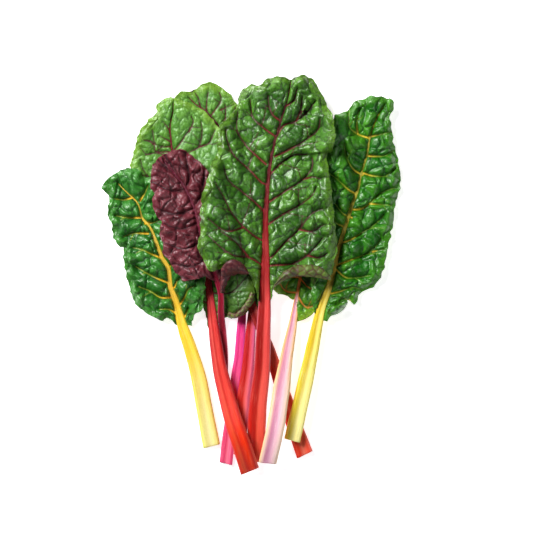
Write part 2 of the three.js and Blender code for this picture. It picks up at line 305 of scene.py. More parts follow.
def settle(along: Array, floors: Array, bend: float = 0.0022) -> Array:
    """Lets a stiff line down onto what is below it.

    Between the places where it rests the line sags with a constant curvature. With that curvature taken off,
    the line is the upper hull of the floors, and it is put back afterwards.

    Args:
        along: distance along the line of each station.
        floors: the lowest height that each station may have.
        bend: curvature between resting places, per millimetre.

    Returns:
        The height of each station.
    """
    bowed = floors - bend * along**2 / 2
    hull: list[int] = []
    for index in range(len(along)):
        while len(hull) > 1:
            a, b = hull[-2], hull[-1]
            straight = bowed[a] + (bowed[index] - bowed[a]) * (along[b] - along[a]) / (along[index] - along[a])
            if bowed[b] > straight:
                break
            hull.pop()
        hull.append(index)
    return np.interp(along, along[hull], bowed[hull]) + bend * along**2 / 2


def relax(heights: Array, held: int, passes: int = 50) -> Array:
    """Rounds off the bends of a line by averaging neighbours, (a + 2 b + c) / 4, again and again.

    Args:
        heights: height of each station.
        held: how many stations at the start stay as they are.
        passes: how many times the neighbours are averaged.

    Returns:
        The eased heights, never below the table.
    """
    eased = heights.copy()
    for _ in range(passes):
        eased[1:-1] = (eased[:-2] + 2 * eased[1:-1] + eased[2:]) / 4
        eased[:held] = heights[:held]
    return np.maximum(eased, 0.0)


# ---------------------------------------------------------------- meshes


class Face(Enum):
    """Which material slot of a piece a face takes."""

    UPPER = 0
    UNDER = 1


@dataclass
class Shell:
    """One closed surface: its points, its faces and a slot for each face, and the numbers its materials read.

    Faces in the slot numbered flat are shaded flat.
    """

    points: Array
    quads: Array
    slots: Array
    traits: dict[str, Array]
    flat: int = -1


def grid_quads(rows: int, columns: int, wrap: bool = False) -> Array:
    """Corner numbers of the faces of a grid of points.

    Args:
        rows: how many rows of points.
        columns: how many columns.
        wrap: joins the last column to the first.

    Returns:
        Four corner numbers for each face.
    """
    number = np.arange(rows * columns).reshape(rows, columns)
    if wrap:
        number = np.concatenate([number, number[:, :1]], axis=1)
    corners = (number[:-1, :-1], number[:-1, 1:], number[1:, 1:], number[1:, :-1])
    return np.stack([corner.ravel() for corner in corners], axis=1)


def grid_normals(points: Array) -> Array:
    """Unit normals of a grid of points, from the cross product of its two directions.

    Args:
        points: the grid, as rows and columns.

    Returns:
        The normals.
    """
    down, right = np.gradient(points, axis=0), np.gradient(points, axis=1)
    normal = np.cross(right, down)
    return normal / np.maximum(np.linalg.norm(normal, axis=-1, keepdims=True), 1e-9)


def sheet_shell(upper: Array, thickness: float, traits: dict[str, Array]) -> Shell:
    """Closed sheet under a grid of points: a second grid set in along the normals, and a rim between the two.

    Args:
        upper: points of the upper side, as rows and columns.
        thickness: distance between the sides.
        traits: numbers for the materials at each point.

    Returns:
        The closed sheet.
    """
    rows, columns = upper.shape[:2]
    normal = grid_normals(upper)
    facing = 1.0 if normal[..., 2].mean() >= 0 else -1.0
    lower = upper - normal * facing * thickness
    lower[..., 2] = np.maximum(lower[..., 2], 0.0)
    count = rows * columns
    number = np.arange(count).reshape(rows, columns)
    ring = np.concatenate([number[0, :-1], number[:-1, -1], number[-1, :0:-1], number[:0:-1, 0]])
    after = np.roll(ring, -1)
    top = grid_quads(rows, columns)
    rim = np.stack([after, ring, ring + count, after + count], axis=1)
    quads = np.concatenate([top, top[:, ::-1] + count, rim])
    if facing < 0:
        quads = quads[:, ::-1]
    slots = np.concatenate([
        np.full(len(top), Face.UPPER.value),
        np.full(len(top), Face.UNDER.value),
        np.full(len(rim), Face.UPPER.value),
    ])
    doubled = {name: np.concatenate([values.ravel()] * 2) for name, values in traits.items()}
    return Shell(np.concatenate([upper.reshape(-1, 3), lower.reshape(-1, 3)]), quads, slots, doubled)


def build_piece(name: str, shells: Sequence[Shell], materials: Sequence[bpy.types.Material]) -> None:
    """Makes one object from closed surfaces, riding on the root and standing in for its node.

    Args:
        name: the node that the piece replaces.
        shells: its closed surfaces, in millimetres.
        materials: its materials, in the order of the faces' slots.
    """
    points = np.concatenate([shell.points for shell in shells]) * MM
    starts = np.cumsum([0] + [len(shell.points) for shell in shells[:-1]])
    quads = np.concatenate([shell.quads + start for shell, start in zip(shells, starts)])
    slots = np.concatenate([shell.slots for shell in shells]).astype(np.int32)
    mesh = bpy.data.meshes.new(name + "_mesh")
    mesh.vertices.add(len(points))
    mesh.vertices.foreach_set("co", points.astype(np.float32).ravel())
    mesh.loops.add(quads.size)
    mesh.loops.foreach_set("vertex_index", quads.astype(np.int32).ravel())
    mesh.polygons.add(len(quads))
    mesh.polygons.foreach_set("loop_start", np.arange(0, quads.size, 4, dtype=np.int32))
    mesh.polygons.foreach_set("material_index", slots)
    smooth = np.concatenate([shell.slots != shell.flat for shell in shells])
    mesh.polygons.foreach_set("use_smooth", smooth)
    for trait in shells[0].traits:
        values = np.concatenate([shell.traits[trait] for shell in shells]).astype(np.float32)
        mesh.attributes.new(trait, "FLOAT", "POINT").data.foreach_set("value", values)
    mesh.validate()
    mesh.update()
    for material in materials:
        mesh.materials.append(material)
    piece = bpy.data.objects.new(name + "_grown", mesh)
    bpy.context.scene.collection.objects.link(piece)
    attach(piece, "root")
    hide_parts(name)
    LOG.info("%s: %d faces", name, len(quads))


# ---------------------------------------------------------------- shader arithmetic


def linear(colour: Colour) -> tuple[float, float, float, float]:
    """Scene-linear colour: c / 12.92 in the darkest part and ((c + 0.055) / 1.055)^2.4 above it.

    Args:
        colour: the three numbers.

    Returns:
        Red, green, blue and alpha from 0 to 1.
    """
    share = np.asarray(colour, float) / 255
    low = share <= 0.04045
    value = np.where(low, share / 12.92, ((share + 0.055) / 1.055) ** 2.4)
    return (float(value[0]), float(value[1]), float(value[2]), 1.0)


class Signal:
    """A socket that puts out a value, with arithmetic that adds Math nodes."""

    def __init__(self, tree: bpy.types.NodeTree, socket: bpy.types.NodeSocket) -> None:
        """Wraps one socket of a tree."""
        self.tree = tree
        self.socket = socket

    def plug(self, target: bpy.types.NodeSocket) -> None:
        """Links this value into a socket."""
        self.tree.links.new(self.socket, target)

    def math(self, operation: str, first: Any, second: Any = 0.0) -> "Signal":
        """Adds one Math node.

        Args:
            operation: the node's operation.
            first: a signal or a number.
            second: a signal or a number.

        Returns:
            What the node puts out.
        """
        node = self.tree.nodes.new("ShaderNodeMath")
        node.operation = operation
        for socket, value in zip(node.inputs, (first, second)):
            if isinstance(value, Signal):
                value.plug(socket)
            else:
                socket.default_value = value
        return Signal(self.tree, node.outputs[0])

    def __add__(self, other: Any) -> "Signal":
        """Sum."""
        return self.math("ADD", self, other)

    def __radd__(self, other: Any) -> "Signal":
        """Sum with a number on the left."""
        return self.math("ADD", other, self)

    def __sub__(self, other: Any) -> "Signal":
        """Difference."""
        return self.math("SUBTRACT", self, other)

    def __rsub__(self, other: Any) -> "Signal":
        """Difference with a number on the left."""
        return self.math("SUBTRACT", other, self)

    def __mul__(self, other: Any) -> "Signal":
        """Product."""
        return self.math("MULTIPLY", self, other)


class Recipe:
    """The node tree of one material."""

    def __init__(self, name: str) -> None:
        """Starts a material with an empty tree.

        Args:
            name: name of the material.
        """
        self.material = bpy.data.materials.new(name)
        self.material.use_nodes = True
        self.tree = self.material.node_tree
        self.tree.nodes.clear()

    def node(self, kind: str, settings: dict[str, Any], inputs: dict[Any, Any], output: Any = 0) -> Signal:
        """Adds a node of any type.

        Args:
            kind: the node's type.
            settings: its own settings, set first; "stops" holds a ramp's positions and colours.
            inputs: values or signals by socket name or number.
            output: name or number of the socket to give back.

        Returns:
            The wrapped output.
        """
        node = self.tree.nodes.new(kind)
        for key, value in settings.items():
            if key == "stops":
                ramp = node.color_ramp
                for index, (place, colour) in enumerate(value):
                    stop = ramp.elements[index] if index < 2 else ramp.elements.new(place)
                    stop.position = place
                    stop.color = linear(colour)
            else:
                setattr(node, key, value)
        for key, value in inputs.items():
            if isinstance(value, Signal):
                value.plug(node.inputs[key])
            elif value is not None:
                node.inputs[key].default_value = value
        return Signal(self.tree, node.outputs[output])

    def trait(self, name: str) -> Signal:
        """Reads a number that the mesh holds at its points."""
        return self.node("ShaderNodeAttribute", {"attribute_name": name}, {}, "Fac")

    def place(self) -> Signal:
        """Object coordinates, in metres."""
        return self.node("ShaderNodeTexCoord", {}, {}, "Object")

    def noise(self, where: Signal, scale: float, detail: float = 2.0, rough: float = 0.55) -> Signal:
        """Cloudy noise of about 0 to 1, with a scale in cells per unit."""
        inputs = {"Vector": where, "Scale": scale, "Detail": detail, "Roughness": rough}
        return self.node("ShaderNodeTexNoise", {}, inputs)

    def warped(self, where: Signal, scale: float, amount: float) -> Signal:
        """Places shifted about by cloudy noise.

        Args:
            where: the places.
            scale: scale of the noise.
            amount: farthest shift.

        Returns:
            The shifted places.
        """
        shift = self.node("ShaderNodeTexNoise", {}, {"Vector": where, "Scale": scale, "Detail": 2.0}, "Color")
        inputs = {0: shift, 1: (amount, amount, amount), 2: where}
        return self.node("ShaderNodeVectorMath", {"operation": "MULTIPLY_ADD"}, inputs)

    def web(self, where: Signal, scale: float) -> Signal:
        """Distance to the borders of irregular cells, in cell widths."""
        inputs = {"Vector": where, "Scale": scale}
        return self.node("ShaderNodeTexVoronoi", {"feature": "DISTANCE_TO_EDGE"}, inputs)

    def fade(self, value: Signal, low: float, high: float) -> Signal:
        """Smooth step from 0 at low to 1 at high."""
        settings = {"interpolation_type": "SMOOTHSTEP", "clamp": True}
        return self.node("ShaderNodeMapRange", settings, {0: value, 1: low, 2: high, 3: 0.0, 4: 1.0})

    def mix(self, share: Any, first: Any, second: Any) -> Signal:
        """Blend of two colours, each a signal or three numbers from 0 to 255."""
        ends = [value if isinstance(value, Signal) else linear(value) for value in (first, second)]
        return self.node("ShaderNodeMix", {"data_type": "RGBA"}, {0: share, 6: ends[0], 7: ends[1]}, 2)

    def shade(self, colour: Signal, by: Signal) -> Signal:
        """A colour made lighter or darker by a factor around 1."""
        return self.node("ShaderNodeVectorMath", {"operation": "SCALE"}, {0: colour, 3: by})

    def bump(self, height: Signal, depth: float) -> Signal:
        """Normal of a fine relief, whose height of 0 to 1 stands for a depth in metres."""
        return self.node("ShaderNodeBump", {}, {"Height": height, "Distance": depth, "Strength": 1.0})

    def finish(self, inputs: dict[Any, Any]) -> bpy.types.Material:
        """Adds the surface shader and closes the recipe.

        Args:
            inputs: values or signals by socket name.

        Returns:
            The material.
        """
        surface = self.node("ShaderNodeBsdfPrincipled", {}, inputs)
        output = self.tree.nodes.new("ShaderNodeOutputMaterial")
        surface.plug(output.inputs["Surface"])
        return self.material


@dataclass(frozen=True)
class BladeFinish:
    """Colours of one blade, and how its veins and gloss look."""

    # Colour painted into the creases and the grooves beside the veins as their shade.
    crease_shade: Colour
    mid: Colour
    # Lighter colour of random patches, also painted on the blister tops as light.
    light: Colour
    rim: Colour
    vein_root: Colour
    vein_end: Colour
    net: Colour
    under: Colour
    under_vein: Colour
    net_share: float = 0.6
    rim_share: float = 0.4
    gloss: float = 0.38
    coat: float = 0.2
    foot_shade: float = 0.0
    sheen: Colour = (226, 255, 214)

    def tissue(self, recipe: Recipe) -> Signal:
        """Colour of the upper side: painted shade in the creases, painted light on the blister tops, patchy, and pale
        along the rim.

        Args:
            recipe: the material's recipe.

        Returns:
            The colour.
        """
        spot = recipe.place()
        relief = recipe.trait("relief")
        patches = recipe.noise(spot, PATCHES, 3.0)
        mottle = recipe.noise(spot, MOTTLE, 3.0, 0.65)
        # Painted shade: where the relief trait is low, in creases, along blister borders and beside the veins, the
        # colour darkens towards the crease colour.
        colour = recipe.mix(recipe.fade(relief + (mottle - 0.5) * 0.35, 0.12, 0.8), self.crease_shade, self.mid)
        # Random lighter patches, and painted light on the blister tops where the relief trait is high.
        patches_and_painted_light = recipe.fade(patches + (relief - 0.5) * 0.5 + (recipe.trait("cell") - 0.5) * 0.3, 0.42, 0.95)
        colour = recipe.mix(patches_and_painted_light * 0.75, colour, self.light)
        edge = 1 - recipe.fade(recipe.trait("room") + (patches - 0.5) * 16.0, 0.0, 11.0)
        colour = recipe.mix(edge * self.rim_share, colour, self.rim)
        return recipe.shade(colour, (0.86 + mottle * 0.28) * (1 - recipe.trait("foot") * self.foot_shade))

    def upper(self, name: str) -> bpy.types.Material:
        """Material of the side that faces up: glossy tissue with sunken veins.

        Args:
            name: start of the material's name.

        Returns:
            The material.
        """
        recipe = Recipe(name + "_upper")
        colour = self.tissue(recipe)
        net, lateral = recipe.trait("net"), recipe.trait("lateral")
        strength = (1 - recipe.fade(lateral, 2.0, 16.0)) * 0.6 + 0.4
        colour = recipe.mix((1 - recipe.fade(net, 0.05, 0.75)) * strength * self.net_share, colour, self.net)
        spot = recipe.place()
        twigs = 1 - recipe.fade(recipe.web(recipe.warped(spot, 90.0, 0.006), TWIGS), 0.015, 0.07)
        hairs = 1 - recipe.fade(recipe.web(recipe.warped(spot, 200.0, 0.003), HAIRS), 0.02, 0.1)
        colour = recipe.mix(twigs * self.net_share * 0.7, colour, self.net)
        colour = recipe.mix(hairs * self.net_share * 0.3, colour, self.net)
        # Painted shade in the groove along each side vein.
        colour = recipe.mix((1 - recipe.fade(lateral, 0.2, 1.0)) * 0.3, colour, self.crease_shade)
        vein = recipe.mix(recipe.fade(recipe.trait("outward"), 0.02, 0.6), self.vein_root, self.vein_end)
        colour = recipe.mix(1 - recipe.fade(lateral, 0.0, 0.75), colour, vein)
        height = (1 - twigs) * 0.7 + (1 - hairs) * 0.25 + recipe.noise(spot, CRINKLE, 4.0, 0.6) * 2.4
        open_skin = recipe.fade(recipe.trait("relief"), 0.15, 0.7)
        rough = self.gloss + 0.2 + recipe.noise(spot, SPOTS, 3.0) * 0.14 - open_skin * 0.26
        return recipe.finish({
            "Base Color": colour,
            "Roughness": rough,
            "Normal": recipe.bump(height, 0.0003),
            "Coat Weight": open_skin * self.coat,
            "Coat Roughness": 0.26,
            "Specular IOR Level": 0.55,
            "Specular Tint": linear(self.sheen),
        })

    def lower(self, name: str) -> bpy.types.Material:
        """Material of the side that faces down: dull, paler tissue with raised veins.

        Args:
            name: start of the material's name.

        Returns:
            The material.
        """
        recipe = Recipe(name + "_under")
        spot = recipe.place()
        patches = recipe.noise(spot, 60.0, 3.0)
        colour = recipe.mix(recipe.fade(patches, 0.3, 0.7), self.under, self.rim)
        colour = recipe.mix(0.4, colour, self.under)
        net, lateral = recipe.trait("net"), recipe.trait("lateral")
        colour = recipe.mix((1 - recipe.fade(net, 0.1, 1.3)) * 0.75, colour, self.under_vein)
        colour = recipe.mix(1 - recipe.fade(lateral, 0.1, 1.0), colour, self.under_vein)
        height = recipe.noise(spot, GRAIN, 3.0) * 0.6 + (1 - recipe.fade(net, 0.0, 1.2)) * 0.6
        return recipe.finish({
            "Base Color": recipe.shade(colour, 0.85 + recipe.noise(spot, 300.0, 2.0) * 0.3),
            "Roughness": 0.42 + patches * 0.16,
            "Normal": recipe.bump(height, 0.0004),
        })


@dataclass(frozen=True)
class StalkFinish:
    """Colours of one stalk across its width, at the cut end, at the foot of the blade and at the leaf's tip. Across
    the width they are partly the stalk's own bands and partly painted light and shade of its channel and ridges.
    """

    cut: tuple[tuple[float, Colour], ...]
    foot: tuple[tuple[float, Colour], ...]
    rib: Colour
    tip: Colour
    streak: Colour
    flesh: Colour
    gloss: float = 0.36
    rib_turn: float = 0.2

    def skin(self, name: str) -> bpy.types.Material:
        """Material of the skin: stops across the width that change along the length, partly painted light and shade,
        with fine lengthwise streaks.

        Args:
            name: start of the material's name.

        Returns:
            The material.
        """
        recipe = Recipe(name + "_skin")
        across = recipe.trait("across") * 0.5 + 0.5
        along, rib = recipe.trait("along"), recipe.trait("rib")
        # The stops across the width carry painted shade on the channel's left wall and painted light on its right
        # wall, as well as the stalk's own bands.
        low = recipe.node("ShaderNodeValToRGB", {"stops": self.cut}, {"Fac": across})
        high = recipe.node("ShaderNodeValToRGB", {"stops": self.foot}, {"Fac": across})
        colour = recipe.mix(recipe.fade(along, 0.05, 0.95), low, high)
        colour = recipe.mix(recipe.fade(rib, 0.0, self.rib_turn), colour, self.rib)
        colour = recipe.mix(recipe.fade(rib, 0.12, 0.8), colour, self.tip)
        grid = {"X": across * 16.0, "Y": recipe.trait("run") * 0.035, "Z": recipe.trait("up")}
        fibre = recipe.node("ShaderNodeCombineXYZ", {}, grid)
        streaks = recipe.noise(fibre, 1.6, 3.0, 0.6)
        threads = recipe.noise(fibre, 5.5, 2.0, 0.6)
        colour = recipe.mix(recipe.fade(streaks, 0.5, 0.76) * 0.4, colour, self.streak)
        spot = recipe.place()
        specks = recipe.noise(spot, GRAIN, 2.0, 0.6)
        colour = recipe.shade(colour, 0.76 + threads * 0.28 + specks * 0.16)
        return recipe.finish({
            "Base Color": colour,
            "Roughness": self.gloss - 0.06 + streaks * 0.16,
            "Normal": recipe.bump(threads * 0.6 + specks * 0.4, 0.0006),
            "Coat Weight": 0.06,
            "Coat Roughness": 0.25,
            "Specular IOR Level": 0.3,
        })

    def face(self, name: str) -> bpy.types.Material:
        """Material of the cut face: wet pale flesh dotted with fibre ends.

        Args:
            name: start of the material's name.

        Returns:
            The material.
        """
        recipe = Recipe(name + "_cut")
        spot = recipe.place()
        dots = recipe.node("ShaderNodeTexVoronoi", {}, {"Vector": spot, "Scale": 480.0, "Randomness": 0.8})
        grain = recipe.noise(spot, 1500.0, 3.0)
        colour = recipe.mix(recipe.fade(dots, 0.12, 0.4), self.streak, self.flesh)
        return recipe.finish({
            "Base Color": recipe.shade(colour, 0.85 + grain * 0.3),
            "Roughness": 0.28 + grain * 0.12,
            "Normal": recipe.bump(dots * 0.6 + grain * 0.4, 0.0005),
        })


# ---------------------------------------------------------------- the leaves' designs


@dataclass(frozen=True)
class Crumple:
    """How strongly a blade is blistered: heights and sizes in millimetres.

    Pillows rise between the side veins, cells and fine cells are the large and the small blisters, waves run over
    the whole blade and ruffles along its margin. stretch makes the cells longer along the side veins.
    """

    pillow: float = 2.2
    pillow_reach: float = 8.0
    cell: float = 9.0
    cell_height: float = 1.3
    fine_cell: float = 4.2
    fine_height: float = 0.4
    wave: float = 1.5
    wavelength: float = 36.0
    ruffle: float = 2.0
    ruffle_length: float = 34.0
    stretch: float = 1.0


@dataclass(frozen=True)
class Flap:
    """A lobe turned over at a blade's edge, with its underside up.

    fold and free are its two long edges, as x, y and height above what it lies on; crest is how far it bulges.
    """

    fold: Plan
    free: Plan
    crest: float = 2.5
    cell: float = 6.0
    on_top: bool = False
    under_up: bool = True


@dataclass(frozen=True)
class Leaf:
    """Design of one leaf, in plan, with the finishes of its two pieces.

    stalk and midrib are one line, from the cut end to the tip of the leaf. left and right are the margins of the
    blade, from its foot to its tip. width is pairs of y and the width of the stalk or midrib there. veins are side
    veins drawn one by one, and grown is rows of even ones: start and end along the midrib, how many, and the side.
    step is the spacing of the blade's grid, and droop how steeply the blade falls away from its midrib. vein_taper
    is the veins' half widths at root and end. forks are places along a vein and the side to which it forks there.
    step_line is a fold across the blade, and holes are x, y and radius.
    """

    name: str
    stalk: Plan
    midrib: Plan
    left: Plan
    right: Plan
    width: Plan
    stalk_finish: StalkFinish
    blade_finish: BladeFinish
    crumple: Crumple = Crumple()
    veins: tuple[Plan, ...] = ()
    grown: tuple[tuple[float, float, int, int], ...] = ()
    flaps: tuple[Flap, ...] = ()
    step: float = 0.95
    droop: float = 0.28
    seed: int = 1
    vein_taper: tuple[float, float] = (0.45, 0.12)
    forks: tuple[tuple[float, float], ...] = ((0.36, 1.0), (0.6, -1.0))
    step_line: Plan = ()
    holes: Plan = ()


# Across each stalk the stops are partly its own colour bands and partly painted light and shade: the top channel's
# left wall, facing away from the upper-left light, is painted darker and its right wall lighter, most of all in
# DEEP_RED, ROSE and LEMON.
DEEP_RED = StalkFinish(
    cut=((0.0, (190, 40, 30)), (0.1, (210, 22, 2)), (0.42, (200, 18, 0)), (0.54, (232, 84, 60)), (0.9, (234, 82, 66)),
         (1.0, (226, 116, 108))),
    foot=((0.0, (196, 96, 116)), (0.1, (160, 4, 2)), (0.46, (168, 4, 2)), (0.56, (230, 74, 70)), (0.9, (222, 62, 60)),
          (1.0, (214, 126, 146))),
    rib=(160, 4, 14), tip=(66, 4, 18), streak=(240, 104, 84), flesh=(240, 170, 140),
)
SCARLET = StalkFinish(
    cut=((0.0, (206, 44, 26)), (0.1, (238, 44, 10)), (0.3, (246, 80, 34)), (0.42, (226, 32, 4)), (0.7, (252, 56, 4)),
         (0.86, (214, 20, 0)), (1.0, (232, 88, 68))),
    foot=((0.0, (150, 40, 66)), (0.12, (206, 40, 40)), (0.28, (238, 84, 76)), (0.4, (206, 30, 26)),
          (0.56, (226, 52, 44)), (0.84, (184, 10, 10)), (1.0, (156, 26, 44))),
    rib=(166, 12, 40), tip=(104, 6, 34), streak=(244, 104, 78), flesh=(244, 160, 120),
)
CRIMSON = StalkFinish(
    cut=((0.0, (150, 16, 44)), (0.5, (132, 4, 22)), (1.0, (176, 40, 66))),
    foot=((0.0, (182, 40, 84)), (0.3, (140, 6, 34)), (0.75, (148, 10, 38)), (1.0, (196, 88, 116))),
    rib=(120, 16, 46), tip=(92, 20, 44), streak=(190, 50, 84), flesh=(214, 120, 120),
)
GOLD = StalkFinish(
    cut=((0.0, (232, 220, 90)), (0.12, (240, 230, 124)), (0.5, (246, 238, 166)), (0.86, (244, 230, 128)),
         (1.0, (230, 212, 84))),
    foot=((0.0, (238, 190, 30)), (0.2, (252, 206, 34)), (0.6, (254, 214, 48)), (1.0, (240, 200, 44))),
    rib=(236, 186, 44), tip=(206, 168, 40), streak=(255, 246, 180), flesh=(250, 246, 200),
)
LEMON = StalkFinish(
    cut=((0.0, (226, 204, 40)), (0.1, (246, 224, 60)), (0.3, (232, 206, 60)), (0.5, (246, 236, 148)),
         (0.9, (248, 238, 150)), (1.0, (244, 222, 70))),
    foot=((0.0, (236, 190, 30)), (0.25, (252, 216, 30)), (0.45, (240, 196, 24)), (0.62, (250, 236, 120)),
          (1.0, (238, 214, 70))),
    rib=(224, 190, 60), tip=(176, 168, 40), streak=(255, 250, 190), flesh=(250, 246, 190),
)
BLUSH = StalkFinish(
    cut=((0.0, (252, 222, 160)), (0.12, (250, 208, 184)), (0.3, (234, 146, 180)), (0.5, (238, 172, 198)),
         (0.78, (248, 208, 206)), (1.0, (252, 222, 186))),
    foot=((0.0, (250, 196, 120)), (0.14, (248, 170, 96)), (0.3, (240, 150, 176)), (0.6, (244, 176, 190)),
          (0.86, (248, 190, 120)), (1.0, (226, 196, 110))),
    rib=(232, 122, 30), tip=(190, 130, 30), streak=(255, 236, 232), flesh=(252, 240, 224), rib_turn=0.05,
)
MAGENTA = StalkFinish(
    cut=((0.0, (238, 80, 120)), (0.3, (234, 70, 118)), (0.55, (248, 122, 150)), (0.8, (236, 80, 122)),
         (1.0, (222, 80, 150))),
    foot=((0.0, (246, 58, 146)), (0.4, (244, 46, 140)), (0.72, (226, 38, 126)), (1.0, (190, 66, 160))),
    rib=(190, 40, 110), tip=(150, 30, 80), streak=(250, 160, 186), flesh=(250, 200, 210),
)
ROSE = StalkFinish(
    cut=((0.0, (210, 30, 16)), (0.4, (222, 40, 14)), (0.6, (236, 100, 84)), (1.0, (216, 110, 140))),
    foot=((0.0, (190, 12, 26)), (0.42, (198, 14, 24)), (0.56, (226, 70, 90)), (1.0, (206, 96, 150))),
    rib=(170, 24, 40), tip=(130, 16, 40), streak=(244, 130, 120), flesh=(246, 180, 160),
)
BRICK = StalkFinish(
    cut=((0.0, (240, 60, 34)), (0.3, (238, 54, 26)), (0.5, (252, 120, 94)), (0.8, (242, 74, 46)),
         (1.0, (244, 110, 92))),
    foot=((0.0, (150, 14, 14)), (0.5, (146, 12, 10)), (1.0, (206, 90, 80))),
    rib=(120, 20, 34), tip=(96, 22, 44), streak=(224, 110, 92), flesh=(240, 170, 150),
)

LEAF_GREEN = BladeFinish(
    crease_shade=(2, 15, 0), mid=(44, 96, 18), light=(92, 152, 46), rim=(104, 148, 26),
    vein_root=(108, 2, 20), vein_end=(66, 4, 20), net=(24, 14, 6), under=(80, 78, 46), under_vein=(74, 14, 34),
    net_share=0.75, rim_share=0.55, gloss=0.37, coat=0.4,
)
PALE_GREEN = BladeFinish(
    crease_shade=(28, 66, 14), mid=(74, 130, 40), light=(104, 158, 60), rim=(128, 168, 38),
    vein_root=(92, 4, 26), vein_end=(66, 22, 24), net=(46, 74, 26), under=(88, 72, 56), under_vein=(90, 24, 48),
    net_share=0.35, rim_share=0.6, gloss=0.4, foot_shade=0.6,
)
BOTTLE_GREEN = BladeFinish(
    crease_shade=(0, 16, 0), mid=(18, 100, 6), light=(78, 156, 26), rim=(84, 150, 16),
    vein_root=(210, 180, 40), vein_end=(100, 146, 30), net=(4, 44, 4), under=(96, 134, 76), under_vein=(206, 196, 96),
    net_share=0.4, rim_share=0.4, gloss=0.36, coat=0.4,
)
FERN_GREEN = BladeFinish(
    crease_shade=(0, 24, 0), mid=(22, 96, 20), light=(66, 142, 46), rim=(66, 134, 38),
    vein_root=(228, 174, 20), vein_end=(128, 146, 28), net=(8, 54, 10), under=(134, 170, 104),
    under_vein=(206, 200, 110), net_share=0.4, rim_share=0.45, gloss=0.4, coat=0.4,
)
BURGUNDY = BladeFinish(
    crease_shade=(18, 0, 2), mid=(84, 18, 28), light=(124, 50, 60), rim=(126, 32, 46),
    vein_root=(84, 2, 22), vein_end=(46, 2, 12), net=(30, 2, 8), under=(82, 44, 42), under_vein=(66, 10, 28),
    net_share=0.3, rim_share=0.3, gloss=0.5, coat=0.25, sheen=(255, 230, 236),
)
SPRING_GREEN = BladeFinish(
    crease_shade=(4, 30, 2), mid=(42, 104, 16), light=(104, 166, 36), rim=(146, 190, 34),
    vein_root=(224, 130, 46), vein_end=(180, 120, 40), net=(24, 70, 20), under=(120, 150, 84),
    under_vein=(220, 150, 70), net_share=0.4, rim_share=0.8, gloss=0.32,
)

# A blade that lies under all the others and is pressed nearly flat.
BURIED = Crumple(pillow=0.8, cell_height=0.6, fine_height=0.2, wave=0.5, ruffle=0.5)

